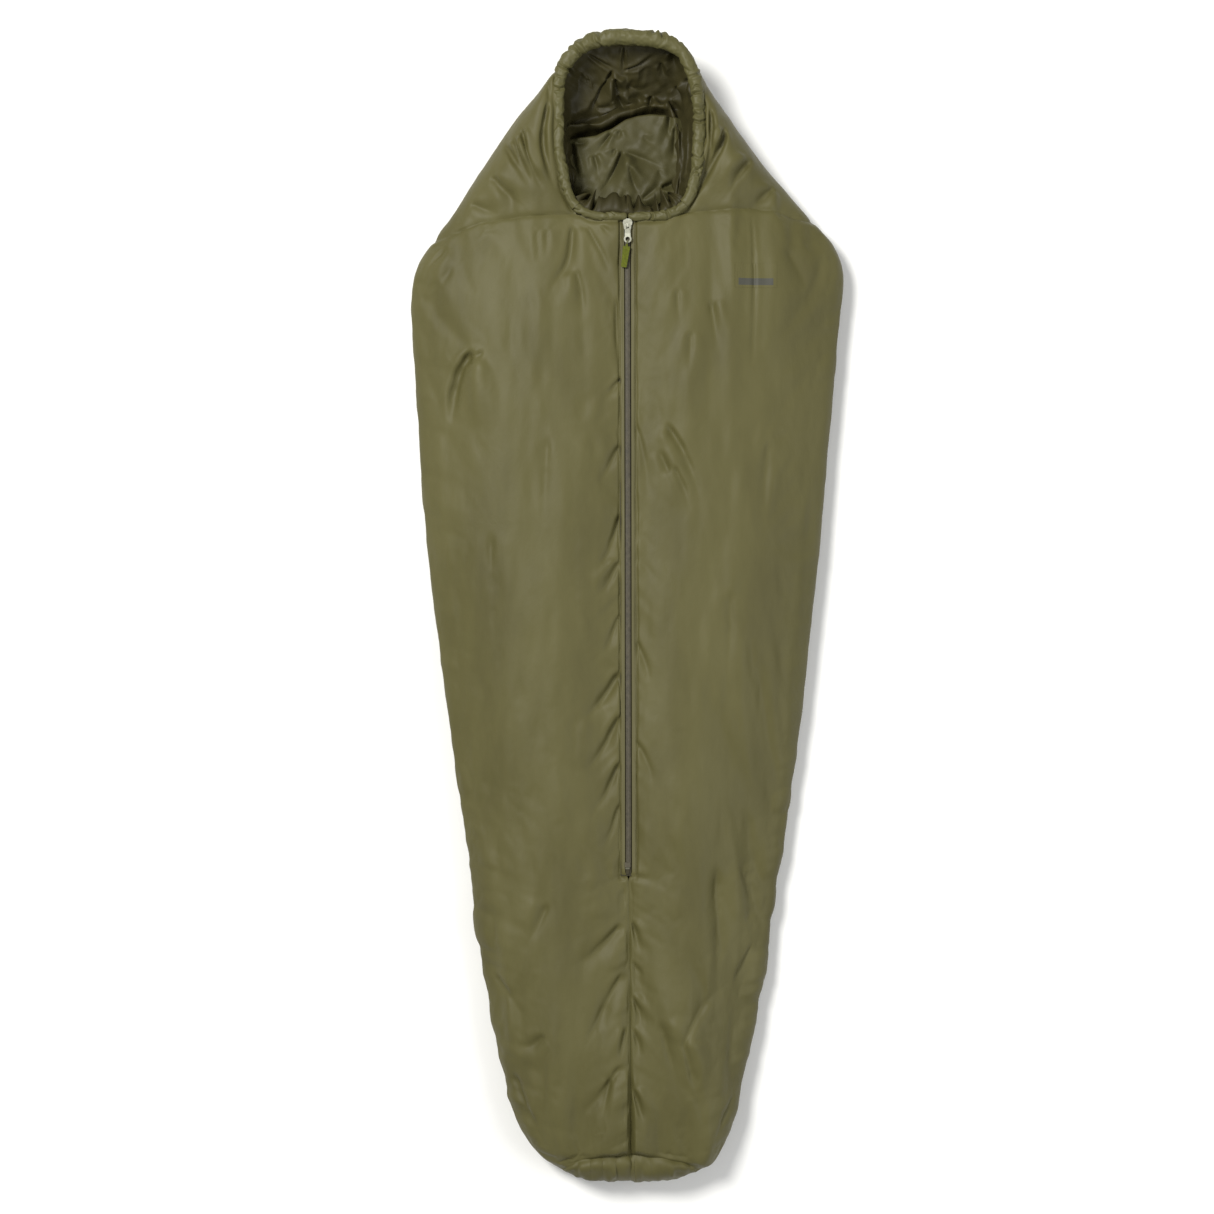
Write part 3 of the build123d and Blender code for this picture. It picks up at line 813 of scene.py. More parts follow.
# Folds and seams of the lining under the crown and down its sides.
CROWN_FOLDS = [
    ([(-76, 1053), (-40, 1036), (-8, 1026)], 4.5, 2.6, 0.0),
    ([(-8, 1026), (28, 1040), (68, 1061)], 4.5, 2.6, 0.0),
    ([(-8, 1066), (-8, 1046), (-8, 1024)], 4.5, 2.4, 0.0),
    ([(-28, 1031), (-46, 1000), (-66, 968), (-92, 936)], 11.0, 6, 0.5),
    ([(-24, 1018), (-22, 995), (-26, 966)], 15.0, 8, 0.0),
    ([(-20, 985), (-8, 965), (4, 950)], 8.0, 7, 0.0),
    ([(-84, 1022), (-92, 1000), (-98, 965)], 4.0, 9, 0.0),
    ([(-72, 1010), (-80, 1004)], 3.0, 4, 0.0),
    ([(-116, 1030), (-113, 1008)], 5.0, 5, 0.0),
    ([(-4, 1000), (26, 996), (56, 1008)], 5.0, 9, 0.3),
    ([(0, 984), (34, 976), (70, 982)], 5.0, 9, 0.3),
    ([(46, 985), (42, 966), (45, 954)], 7.0, 5, 0.0),
    ([(62, 1040), (70, 1020), (90, 1012)], 4.0, 5, 0.0),
    ([(84, 1060), (88, 1036), (110, 1020)], 5.0, 6, 0.0),
    ([(92, 1000), (100, 975), (106, 950)], 8.0, 7, 0.0),
    ([(112, 1010), (112, 980), (116, 950)], 7.0, 6, 0.0),
    ([(80, 975), (96, 955), (116, 940)], 6.0, 6, 0.0),
    ([(-110, 930), (-70, 944), (-30, 952)], 7.0, 8, 0.3),
    ([(-60, 960), (-34, 968), (-14, 985)], 5.0, 7, 0.0),
]


NECK_Y = 0.70  # where the trunk ends and the hood begins, on the back's lining


def back_lining_grid():
    """The lining of the back: flat along the trunk, raised behind the neck, ending in the hood's fold."""
    across = np.linspace(-1, 1, 121)
    ridge = np.array(RIDGE)
    y_rows = np.r_[np.linspace(-1.03, 0.70, 200), np.linspace(0.705, 1.0, 120)]
    points = []
    for y0 in y_rows:
        trunk_y = min(y0, NECK_Y)
        room = 0.95 * min(half_width(trunk_y, -1), half_width(trunk_y, 1))
        x = across * (room + (0.128 - room) * smooth((y0 - NECK_Y) / 0.10))
        end = np.interp(x, ridge[:, 0], ridge[:, 1])
        y = np.where(y0 > NECK_Y, NECK_Y + (end - NECK_Y) * (y0 - NECK_Y) / 0.30, y0)
        rise = smooth((y - 0.715) / 0.075)
        z = 0.0178 + 0.040 * rise
        z = z - 0.016 * rise * np.abs(across) ** 4
        z += (1 - rise) * 0.026 * np.abs(across) ** 6
        points.append(np.column_stack([x, y, z]))
    grid = np.array(points)
    flat = grid.reshape(-1, 3)
    in_hood = smooth((flat[:, 1] - 0.74) / 0.03)
    height = creases(flat, PILLOW_FOLDS, 1.35, lip=0.5)
    height += in_hood * 0.0026 * noise(flat, 0.030, 100)
    height += in_hood * 0.0016 * noise(flat, 0.012, 101)
    height += (1 - in_hood) * 0.0030 * noise(flat * [1, 0.6, 1], 0.06, 102)
    grid[..., 2] += height.reshape(grid.shape[:2])
    grid[..., 2] = np.maximum(grid[..., 2], 0.012)
    turns = [(0.0025, -0.003), (0.0035, -0.008), (0.002, -0.014), (-0.004, -0.020), (-0.014, -0.024)]
    rolled = [grid[-1] + [0, dy, dz] for dy, dz in turns]
    return np.concatenate([grid, np.array(rolled)], axis=0)


# The deep end of the hood's lining around the face, from the left shoulder to the right.
HOOD_INNER = [(-0.099, 0.745), (-0.1, 0.79), (-0.102, 0.84), (-0.103, 0.88), (-0.08, 0.893),
              (-0.04, 0.9), (-0.01, 0.915), (0.02, 0.925), (0.055, 0.93), (0.074, 0.928),
              (0.079, 0.9), (0.081, 0.85), (0.088, 0.8), (0.096, 0.745)]


def hood_lining_grid():
    """The hood's lining: from the rim down its sides and from the crown down to the deep fold."""
    rim = np.array([(x, y, r) for x, y, r in RIM[3:19]])
    outer = through(rim, 420)
    outward = outer[:, :2] - FACE_MIDDLE
    outward /= np.linalg.norm(outward, axis=1)[:, None]
    start = outer[:, :2] - outward * outer[:, 2:] * 0.35
    inner = through(HOOD_INNER, 420)
    rho = np.linspace(0, 1, 90) ** 1.25
    points = []
    for a, b in zip(start, inner):
        long = np.linalg.norm(b - a)
        crown = smooth((long - 0.05) / 0.07)
        plan = a + (b - a) * rho[:, None]
        tucked = smooth((rho - 0.95) / 0.05)
        wall = 0.068 + 0.042 * (1 - smooth(rho / 0.8)) ** 1.1 - 0.034 * tucked
        where = np.column_stack([plan, np.zeros(len(rho))])
        upright = np.column_stack([rho * long, plan[:, 1] * 0.22, plan[:, 0] * 0.2 + np.sign(a[0])])
        strip = noise(upright, 0.010, 115)
        wall = wall + 0.0130 * strip * np.sin(np.pi * rho**0.7) + 0.002 * noise(where, 0.012, 116)
        from_end = (1 - rho) * long + 0.007 * noise(np.column_stack([plan, 0 * rho]), 0.030, 117)
        roll = 0.030 * np.exp(-(((from_end - 0.034) / 0.010) ** 2))
        dome = 0.012 + 0.098 * (1 - rho) ** 1.5 + roll
        points.append(np.column_stack([plan, wall * (1 - crown) + dome * crown]))
    grid = np.array(points)
    flat = grid.reshape(-1, 3)
    rim_line = outer[::10, :2]
    height = pucker(flat, rim_line, 0.0090, 0.030, 0.016, 110)
    height += 0.0048 * noise(flat * [1, 1, 0.3], 0.028, 111)
    height += 0.0022 * noise(flat * [1, 1, 0.3], 0.012, 112)
    height += creases(flat, CROWN_FOLDS, 1.45, lip=0.5)
    hidden = smooth(np.tile(rho, len(start)) / 0.06)
    moved = flat + normals_of(grid).reshape(-1, 3) * (height * hidden)[:, None]
    moved[:, 2] = np.clip(moved[:, 2], 0.010, None)
    return moved.reshape(grid.shape)


# ---- rim ----
def rim_path(first, last, count):
    """The rim's middle line and radius between two of its points."""
    dense = through(RIM, 2000)
    ends = [np.argmin(np.linalg.norm(dense[:, :2] - RIM[k][:2], axis=1)) for k in (first, last)]
    return resample(dense[ends[0]:ends[1] + 1], count)


def gathered_tube(path, seed, spacing, free_ends=()):
    """A soft tube drawn up along its length, with creases across it where the cloth gathers.

    An end named in free_ends, 0 or 1, is rounded off.
    """
    rng = np.random.default_rng(seed)
    plan, radius = path[:, :2], path[:, 2].copy()
    run = np.r_[0, np.cumsum(np.linalg.norm(np.diff(plan, axis=0), axis=1))]
    tangent = np.gradient(plan, axis=0)
    tangent /= np.linalg.norm(tangent, axis=1)[:, None]
    outward = np.stack([tangent[:, 1], -tangent[:, 0]], 1)
    angle = np.linspace(0, 2 * np.pi, 44, endpoint=False)
    line = np.stack([run, 0 * run, 0 * run], -1)
    radius *= 1.06 + 0.18 * noise(line, 0.030, seed + 3)
    shape = np.ones((len(run), len(angle)))
    at = 0.0
    while at < run[-1]:
        at += rng.uniform(*spacing)
        deep, wide = rng.uniform(0.14, 0.46), rng.uniform(0.0016, 0.0042)
        lean, bow, turn = rng.uniform(-0.012, 0.012), rng.uniform(-0.006, 0.006), rng.uniform(0, 6.3)
        away = run[:, None] - at - lean * np.sin(angle) - bow * np.cos(2 * angle)
        middle_at = resample(plan, np.array([min(at / run[-1], 1)]))[0]
        if abs(middle_at[0]) < 0.034 and middle_at[1] > 1.0:
            deep *= 0.12
        reach = 0.40 + 0.60 * np.cos(angle - turn)
        shape -= deep * np.clip(reach, 0, 1) * np.exp(-np.abs(away / wide) ** 1.4)
        shape += 0.30 * deep * np.clip(reach, 0, 1) * np.exp(-((np.abs(away) - 2.4 * wide) / wide) ** 2)
    ring = np.stack(np.broadcast_arrays(run[:, None], 0.010 * np.cos(angle), 0.010 * np.sin(angle)), -1)
    shape += 0.10 * noise(ring.reshape(-1, 3), 0.016, seed).reshape(shape.shape)
    shape += 0.08 * noise(ring.reshape(-1, 3) * [1, 1.6, 1.6], 0.0065, seed + 1).reshape(shape.shape)
    wander = 0.0024 * noise(line, 0.045, seed + 2)
    for end in free_ends:
        left = np.clip(np.abs(run - end * run[-1]) / radius, 0, 1)
        shape *= np.sqrt(1 - (1 - left) ** 2)[:, None]
        wander *= left
    across = radius[:, None] * shape * np.cos(angle) + wander[:, None]
    up = radius[:, None] * 0.92 * shape * np.sin(angle)
    x = plan[:, :1] + outward[:, :1] * across
    y = plan[:, 1:] + outward[:, 1:] * across
    z = front_z(plan[:, 1])[:, None] + 0.0020 + up
    return np.stack([x, y, z], -1)


# ---- zip ----
COIL_PITCH = 0.0021


def coil_half(side, y_low, y_high):
    """One half of the zip's coil: a row of small hooks that mesh with the other half's."""
    count = int((y_high - y_low) / COIL_PITCH)
    # plan of one hook's top, from the tape to its head, as (across, along, height)
    hook = np.array([
        (0.0048, -0.42, -0.4), (0.0048, 0.42, -0.4), (0.0042, -0.40, 0.9), (0.0042, 0.40, 0.9),
        (0.0008, -0.34, 1.15), (0.0008, 0.34, 1.15), (-0.0006, -0.40, 0.7), (-0.0006, 0.40, 0.7),
        (-0.0009, -0.36, -0.4), (-0.0009, 0.36, -0.4),
    ])
    quads = np.array([(0, 1, 3, 2), (2, 3, 5, 4), (4, 5, 7, 6), (6, 7, 9, 8),
                      (0, 2, 4, 6), (1, 7, 5, 3), (0, 6, 8, 8), (1, 9, 9, 7)])
    verts, faces = [], []
    for k in range(count):
        y = y_low + (k + (0.25 if side < 0 else 0.75)) * COIL_PITCH
        place = np.array([middle_x(y), y, front_z(y)])
        part = np.column_stack([
            side * hook[:, 0], hook[:, 1] * COIL_PITCH * (1 if side > 0 else -1), 0.0011 * hook[:, 2],
        ])
        verts.append(part + place)
        faces += [tuple(dict.fromkeys((quad + 10 * k).tolist())) for quad in quads]
    return np.vstack(verts), faces


def tape_grid(side, y_low, y_high):
    """One zip tape: from under the coil out to its edge beneath the facing."""
    y = np.linspace(y_low, y_high, 260)
    across = np.array([0.0002, 0.0016, 0.0030, 0.0044, 0.0055, 0.0068, 0.0090, 0.0120, 0.0150])
    down = np.array([-0.0006, -0.0006, -0.0006, -0.0010, -0.0022, -0.0030, -0.0034, -0.0040, -0.0045])
    x = middle_x(y)[:, None] + side * across
    z = front_z(y)[:, None] + down
    return np.stack([x, np.broadcast_to(y[:, None], x.shape), z], -1)


def facing_stitches(side, y_low, y_high, surface):
    """A row of thread dashes along the facing."""
    verts, faces = [], []
    pitch, dash, radius = 0.0042, 0.0030, 0.00032
    for y in np.arange(y_low, y_high, pitch):
        ends = np.array([[middle_x(v) + side * FACING * 0.86, v] for v in (y, y + dash)])
        heights = surface(ends)
        base = len(verts)
        for (x, v), z in zip(ends, heights):
            for dx, dz in ((-radius, 0), (0, radius * 1.4), (radius, 0), (0, -radius)):
                verts.append((x + dx, v, z + dz))
        for j in range(4):
            faces.append((base + j, base + (j + 1) % 4, base + 4 + (j + 1) % 4, base + 4 + j))
        faces += [(base, base + 1, base + 2, base + 3), (base + 7, base + 6, base + 5, base + 4)]
    return np.array(verts), faces


def surface_reader(grid):
    """Height of a grid of points at places in plan, by the nearest point."""
    flat = grid.reshape(-1, 3)
    tree = KDTree(len(flat))
    for k, (x, y, _) in enumerate(flat):
        tree.insert((x, y, 0), k)
    tree.balance()

    def height(places):
        result = []
        for x, y in places:
            near = tree.find_n((x, y, 0), 3)
            weight = np.array([1 / (d + 1e-5) for _, _, d in near])
            result.append(float(np.sum(weight * flat[[i for _, i, _ in near], 2]) / weight.sum()))
        return np.array(result)
    return height


# ---- materials ----
def srgb(red, green, blue):
    """Linear colour from an 8-bit one."""
    linear = [c / 12.92 if c <= 0.04045 else ((c + 0.055) / 1.055) ** 2.4 for c in
              (red / 255, green / 255, blue / 255)]
    return (*linear, 1.0)


class Nodes:
    """A material's node tree, with its Principled shader."""

    def __init__(self, name):
        self.material = bpy.data.materials.new(name)
        self.material.use_nodes = True
        self.tree = self.material.node_tree
        self.shader = self.tree.nodes["Principled BSDF"]

    def set(self, **values):
        for key, value in values.items():
            self.shader.inputs[key.replace("_", " ")].default_value = value

    def add(self, kind, **values):
        node = self.tree.nodes.new(kind)
        for key, value in values.items():
            if key in node.inputs:
                node.inputs[key].default_value = value
            else:
                setattr(node, key, value)
        return node

    def link(self, source, target):
        self.tree.links.new(source, target)

    def uv(self, scale):
        """UV coordinates in metres, scaled."""
        coordinates = self.add("ShaderNodeTexCoord")
        mapping = self.add("ShaderNodeMapping")
        mapping.inputs["Scale"].default_value = scale
        self.link(coordinates.outputs["UV"], mapping.inputs["Vector"])
        return mapping.outputs["Vector"]

    def noise(self, vector, scale, detail, roughness):
        node = self.add("ShaderNodeTexNoise", Scale=scale, Detail=detail, Roughness=roughness)
        self.link(vector, node.inputs["Vector"])
        return node.outputs["Fac"]

    def ramp(self, factor, *stops):
        node = self.add("ShaderNodeValToRGB")
        while len(node.color_ramp.elements) < len(stops):
            node.color_ramp.elements.new(0.5)
        for element, (position, colour) in zip(node.color_ramp.elements, stops):
            element.position, element.color = position, colour
        self.link(factor, node.inputs["Fac"])
        return node.outputs["Color"]

    def bump(self, height, distance, strength, normal=None):
        node = self.add("ShaderNodeBump", Strength=strength, Distance=distance)
        self.link(height, node.inputs["Height"])
        if normal is not None:
            self.link(normal, node.inputs["Normal"])
        return node.outputs["Normal"]

    def product(self, a, b):
        node = self.add("ShaderNodeMath", operation="MULTIPLY")
        self.link(a, node.inputs[0])
        self.link(b, node.inputs[1])
        return node.outputs[0]

    def roughness(self, factor, low, high):
        """Lets the roughness vary between these two with a factor."""
        node = self.add("ShaderNodeMapRange")
        node.inputs["To Min"].default_value = low
        node.inputs["To Max"].default_value = high
        self.link(factor, node.inputs["Value"])
        self.link(node.outputs["Result"], self.shader.inputs["Roughness"])


CRINKLE = 0.0006  # depth of the cloth's fine crinkles
WAVE_TURN = 20  # how far a wave texture's sine turns in a metre, in radians, at a scale of one


def woven(name, dark, middle, light, roughness, sheen, thread=0.00045, gloss=0.30):
    """Plain-weave taffeta: threads, fine crinkles and a slightly uneven dye."""
    n = Nodes(name)
    metres = n.uv((1, 1, 1))
    streaks = n.uv((1.0, 0.35, 1.0))
    dye = n.noise(streaks, 9.0, 4.0, 0.6)
    n.link(n.ramp(dye, (0.28, dark), (0.5, middle), (0.74, light)), n.shader.inputs["Base Color"])
    waves = []
    for direction in ("X", "Y"):
        wave = n.add("ShaderNodeTexWave", wave_type="BANDS", bands_direction=direction,
                     wave_profile="SIN", Scale=1.0 / (thread * WAVE_TURN) * 6.2832 / 2, Distortion=0.25)
        n.link(metres, wave.inputs["Vector"])
        waves.append(wave.outputs["Fac"])
    weave = n.product(*waves)
    fine = n.noise(metres, 95.0, 5.0, 0.62)
    broad = n.noise(streaks, 34.0, 4.0, 0.6)
    first = n.bump(weave, 0.00005, 0.35)
    second = n.bump(fine, CRINKLE, 0.32, first)
    third = n.bump(broad, CRINKLE * 4, 0.30, second)
    n.link(third, n.shader.inputs["Normal"])
    n.roughness(broad, roughness - 0.05, roughness + 0.08)
    n.set(Specular_IOR_Level=gloss, Sheen_Weight=sheen, Sheen_Roughness=0.4)
    n.set(Sheen_Tint=srgb(150, 146, 110))
    return n.material


def plain(name, dark, light, roughness, metallic=0.0, grain=400.0, depth=0.00006, coat=0.0, gloss=0.5):
    """Moulded or cast material: uneven tone and a fine grain."""
    n = Nodes(name)
    coordinates = n.add("ShaderNodeTexCoord")
    vector = coordinates.outputs["Object"]
    tone = n.noise(vector, grain * 0.25, 3.0, 0.6)
    n.link(n.ramp(tone, (0.32, dark), (0.68, light)), n.shader.inputs["Base Color"])
    grains = n.noise(vector, grain, 4.0, 0.65)
    n.link(n.bump(grains, depth, 0.5), n.shader.inputs["Normal"])
    n.roughness(tone, roughness - 0.07, roughness + 0.07)
    n.set(Metallic=metallic, Coat_Weight=coat, Specular_IOR_Level=gloss)
    return n.material


SHELL = woven("shell_taffeta", srgb(75, 71, 39), srgb(82, 78, 44), srgb(88, 84, 50), 0.55, 0.06, gloss=0.24)
HOOD = woven("hood_taffeta", srgb(74, 70, 38), srgb(81, 77, 43), srgb(87, 83, 49), 0.55, 0.06, gloss=0.26)
LINING = woven("lining_taffeta", srgb(63, 60, 35), srgb(70, 67, 40), srgb(77, 74, 46), 0.52, 0.05, gloss=0.20)
RIM_CLOTH = woven("rim_taffeta", srgb(74, 71, 40), srgb(81, 78, 45), srgb(88, 85, 51), 0.52, 0.06)
FACING_CLOTH = woven("facing_taffeta", srgb(78, 74, 44), srgb(85, 81, 50), srgb(92, 88, 57), 0.58, 0.06)
# Painted shade: the hood's lining is the same fabric as LINING, and its darker colours stand in for the shade
# deep inside the hood and in the chin's gathered lining.
SHADED_HOOD_LINING = woven("hood_lining_painted_shade", srgb(42, 39, 20), srgb(54, 50, 27), srgb(66, 61, 35), 0.52, 0.03,
                    gloss=0.20)
TAPE = woven("zip_tape_weave", srgb(44, 41, 26), srgb(52, 48, 31), srgb(60, 56, 37), 0.75, 0.05, 0.0008)
COIL = plain("coil_nylon", srgb(60, 55, 39), srgb(76, 70, 52), 0.55)
THREAD = plain("sewing_thread", srgb(104, 99, 66), srgb(120, 115, 80), 0.6, grain=2500.0)
METAL = plain("slider_lacquer", srgb(136, 136, 121), srgb(176, 176, 160), 0.36, metallic=0.40, coat=0.3)
STEEL = plain("stop_metal", srgb(84, 82, 68), srgb(110, 108, 92), 0.4, metallic=0.7)
GRIP = plain("puller_rubber", srgb(68, 74, 5), srgb(88, 94, 9), 0.60, grain=900.0, gloss=0.18)
CORD = plain("puller_cord", srgb(58, 60, 26), srgb(84, 86, 40), 0.65, grain=3000.0, depth=0.00015)
MARK = woven("mark_print", srgb(57, 57, 49), srgb(63, 63, 55), srgb(69, 69, 61), 0.55, 0.0)
FLOOR = plain("pale_floor", srgb(236, 236, 234), srgb(242, 242, 240), 0.9, grain=6.0, depth=0.0001)

# ---- build: outer cloth ----
GRIDS = {side: front_grid(side) for side in (-1, 1)}
HOOD_GRID = hood_grid(GRIDS[-1], GRIDS[1])
TOP = {side: dressed(GRIDS[side]) for side in (-1, 1)}
# the two halves share the middle seam below the zip
together = smooth((ZIP_END_Y - 0.020 - TOP[1][:, 0, 1]) / 0.01)[:, None]
seam = (TOP[-1][:, 0] + TOP[1][:, 0]) / 2
for side in (-1, 1):
    TOP[side][:, 0] += (seam - TOP[side][:, 0]) * together
HOOD_TOP = joined(dressed(HOOD_GRID), TOP[-1], TOP[1])
FOOT_TOP = foot_grid(TOP[-1], TOP[1])


def doubled(values):
    """Twice as many rows, by cubic midpoints."""
    before, after = 2 * values[:1] - values[1:2], 2 * values[-1:] - values[-2:-1]
    row = np.concatenate([before, values, after])
    middle = (9 * (row[1:-2] + row[2:-1]) - row[:-3] - row[3:]) / 16
    result = np.empty((2 * len(values) - 1, *values.shape[1:]))
    result[0::2], result[1::2] = values, middle
    return result


SPARE = np.array([1.020, 1.005, 1.010])  # how much longer the cloth is than the way between its seams
PRESSURE = 0.45
SWELL_FRAMES = 22
SWELL_CAP = 0.014  # the furthest that a point may move


def relaxed(grids, pins):
    """Lets the padded cloth swell and settle between its seams, as a cloth simulation does.

    Each grid is simulated at half its density. How far a point may move is capped, and the
    movement is carried back to the full grid.
    """
    coarse = [grid[::2, ::2] for grid in grids]
    starts = np.cumsum([0] + [c.shape[0] * c.shape[1] for c in coarse])
    faces = []
    for part, start in zip(coarse, starts):
        quads = grid_faces(*part.shape[:2])
        a, b, c = (part.reshape(-1, 3)[quads[:, k]] for k in (0, 1, 2))
        upward = np.cross(b - a, c - a)[:, 2].sum() > 0
        faces.append((quads if upward else quads[:, ::-1]) + start)
    rest = np.vstack([c.reshape(-1, 3) for c in coarse])
    obj = make_mesh("relaxing", rest, np.vstack(faces), SHELL)
    held = np.flatnonzero(np.concatenate([pin[::2, ::2].ravel() for pin in pins]))
    obj.vertex_groups.new(name="seams").add(held.tolist(), 1.0, "REPLACE")
    obj.shape_key_add(name="rest")
    spare = obj.shape_key_add(name="spare")
    spare.data.foreach_set("co", (rest * SPARE).astype(np.float32).ravel())
    modifier = obj.modifiers.new("cloth", "CLOTH")
    settings = modifier.settings
    settings.rest_shape_key = spare
    settings.quality = 5
    settings.mass = 0.12
    settings.tension_stiffness = settings.compression_stiffness = 14
    settings.shear_stiffness = 8
    settings.bending_stiffness = 0.25
    settings.use_pressure = True
    settings.uniform_pressure_force = PRESSURE
    settings.vertex_group_mass = "seams"
    settings.effector_weights.gravity = 0
    modifier.collision_settings.use_collision = False
    modifier.point_cache.frame_end = SWELL_FRAMES
    scene = bpy.context.scene
    for step in range(1, SWELL_FRAMES + 1):
        scene.frame_set(step)
    mesh = obj.evaluated_get(bpy.context.evaluated_depsgraph_get()).to_mesh()
    after = np.empty(3 * len(rest), np.float32)
    mesh.vertices.foreach_get("co", after)
    move = after.reshape(-1, 3) - rest
    length = np.linalg.norm(move, axis=1, keepdims=True)
    move *= SWELL_CAP * np.tanh(length / SWELL_CAP) / np.maximum(length, 1e-9)
    old = obj.data
    bpy.data.objects.remove(obj)
    bpy.data.meshes.remove(old)
    scene.frame_set(1)
    result = []
    for grid, part, start in zip(grids, coarse, starts):
        own = move[start:start + part.shape[0] * part.shape[1]].reshape(part.shape)
        dense = doubled(doubled(own).transpose(1, 0, 2)).transpose(1, 0, 2)
        result.append(grid + dense)
    return result


FOOT_ROWS, SIDE_COLUMNS = 28, 14  # a front's corner beside the foot, held where the two seams meet


def seam_mask(grid, near_zip):
    """Where a grid is sewn down: its edges and, on a front, the flat facing beside the zip."""
    held = np.zeros(grid.shape[:2], bool)
    held[:2] = held[-2:] = held[:, -2:] = held[:, :2] = True
    if near_zip:
        held[:FOOT_ROWS, -SIDE_COLUMNS:] = True
        held |= (np.abs(grid[..., 0]) < FACING) & (grid[..., 1] > ZIP_END_Y)
    return held


sheets = [TOP[-1], TOP[1], HOOD_TOP]
sheets = relaxed(sheets, [seam_mask(g, k < 2) for k, g in enumerate(sheets)])
TOP, HOOD_TOP = {-1: sheets[0], 1: sheets[1]}, sheets[2]
TOP = {side: lowered(pressed(TOP[side], SHELL_FOLDS, 0.5)) for side in (-1, 1)}
HOOD_TOP = lowered(pressed(HOOD_TOP, HOOD_FOLDS, 0.9))


def soft(piece, slot, fill, *nodes):
    """Hides the CAD nodes that a piece of cloth stands for, and returns the piece; slot and fill are not
    used.
    """
    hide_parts(*nodes)
    return piece


def crossing(piece, side):
    """The piece bends where its half of the chest folds open, but not below the zip."""
    joint = FOLD_JOINTS[WORD[side]]
    pivot = np.array(joint["pos_m"])
    axis = np.array(joint["axis"])
    axis = axis / np.linalg.norm(axis) * np.sign(axis[1])
    middle = pivot + axis * 0.6
    across = np.cross([0, 0, 1], axis)
    across /= np.linalg.norm(across)
    across *= np.sign(across[0]) * side
    reach = 0.022
    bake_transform(piece, "root", f"zip_panel_{WORD[side]}", tuple(middle + across * reach),
             tuple(middle - across * reach))
    data = piece.data.attributes["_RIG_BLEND"].data
    weight = np.empty(len(data), np.float32)
    data.foreach_get("value", weight)
    where = np.empty(3 * len(data), np.float32)
    piece.data.vertices.foreach_get("co", where)
    y = where.reshape(-1, 3)[:, 1]
    weight *= smooth((y - (ZIP_END_Y + 0.004)) / 0.06)
    data.foreach_set("value", weight.astype(np.float32))


for side in (-1, 1):
    word = WORD[side]
    front = cloth(f"front_{word}_cloth", [TOP[side]], SHELL)
    front.data.materials.append(FACING_CLOTH)
    for face in front.data.polygons:
        x, y, _ = face.center
        face.material_index = int(y > ZIP_END_Y and abs(x - middle_x(y)) < FACING - 0.0012)
    soft(front, "shell_fabric", 0.4, f"front_{word}_shell", f"front_{word}_fill",
         f"zip_panel_{word}_shell", f"zip_panel_{word}_fill")
    crossing(front, side)

    sheets = [front_lining_grid(GRIDS[side], TOP[side], side), chin_grid(side)]
    inside = cloth(f"front_{word}_inner_cloth", sheets, LINING, facing=(0, 0, -1))
    # The chin's gathered lining takes the darker copy of the lining fabric: painted shade.
    inside.data.materials.append(SHADED_HOOD_LINING)
    for face in inside.data.polygons[-(CHIN_ROWS - 1) * (CHIN_STEPS - 1):]:
        face.material_index = 1
    soft(inside, "lining_fabric", 0.4, f"front_{word}_lining", f"zip_panel_{word}_lining")
    crossing(inside, side)

half = HOOD_ROWS // 2
for word, part in (("left", HOOD_TOP[: half + 1]), ("right", HOOD_TOP[half:])):
    hood = cloth(f"hood_{word}_cloth", [part], HOOD)
    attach(soft(hood, "shell_fabric", 0.4, f"hood_{word}_shell", f"hood_{word}_fill"), "root")

foot = cloth("foot_cloth", [FOOT_TOP], SHELL, facing=(0, -1, 0))
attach(soft(foot, "shell_fabric", 0.4, "foot_shell", "foot_fill"), "root")

LEFT_EDGE = np.vstack([TOP[-1][:, -1], HOOD_TOP[1:half + 1, -1]])
RIGHT_EDGE = np.vstack([TOP[1][:, -1], HOOD_TOP[-2:half - 1:-1, -1]])
back = cloth("back_cloth", [back_grid(LEFT_EDGE, RIGHT_EDGE, FOOT_TOP[-1])], SHELL, facing=(0, 0, -1))
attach(soft(back, "shell_fabric", 0.4, "back_shell", "back_fill"), "root")

# ---- build: linings ----
bed = cloth("back_inner_cloth", [back_lining_grid()], LINING)
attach(soft(bed, "lining_fabric", 0.3, "back_lining"), "root")

hood_inside = hood_lining_grid()
half = len(hood_inside) // 2
for word, part in (("left", hood_inside[: half + 1]), ("right", hood_inside[half:])):
    # The hood's lining pieces take the darker copy of the lining fabric: painted shade for the inside of the
    # hood.
    piece = cloth(f"hood_{word}_inner_cloth", [part], SHADED_HOOD_LINING)
    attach(soft(piece, "lining_fabric", 0.3, f"hood_{word}_lining"), "root")

toe = FOOT_TOP[:, ::2].copy()
toe[..., 1] = np.maximum(toe[..., 1] + 0.016, -1.084)
toe[..., 2] = 0.062 + (toe[..., 2] - 0.062) * 0.72
toe_piece = cloth("foot_inner_cloth", [toe], LINING, facing=(0, 1, 0))
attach(soft(toe_piece, "lining_fabric", 0.3, "foot_lining"), "root")

# ---- build: rim ----
CORNERS = (3, 18)  # the rim's points where its upper length meets the two below
tube = gathered_tube(rim_path(*CORNERS, 1000), 201, (0.008, 0.034))
upper = cloth("rim_upper", [tube], RIM_CLOTH, wrap=True)
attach(soft(upper, "shell_fabric", 0.7, "face_rim_upper", "rim_elastic"), "root")
for side, ends, free_end in ((-1, (0, CORNERS[0]), 0), (1, (CORNERS[1], len(RIM) - 1), 1)):
    word = WORD[side]
    tube = gathered_tube(rim_path(*ends, 240), 210 + side, (0.008, 0.022), free_ends=(free_end,))
    rim = cloth(f"rim_{word}", [tube], RIM_CLOTH, wrap=True)
    crossing(soft(rim, "shell_fabric", 0.7, f"face_rim_{word}"), side)

# ---- build: zip ----
TAPE_TO_Y, STITCH_TO_Y = 0.7335, 0.728  # where they end, below the chin

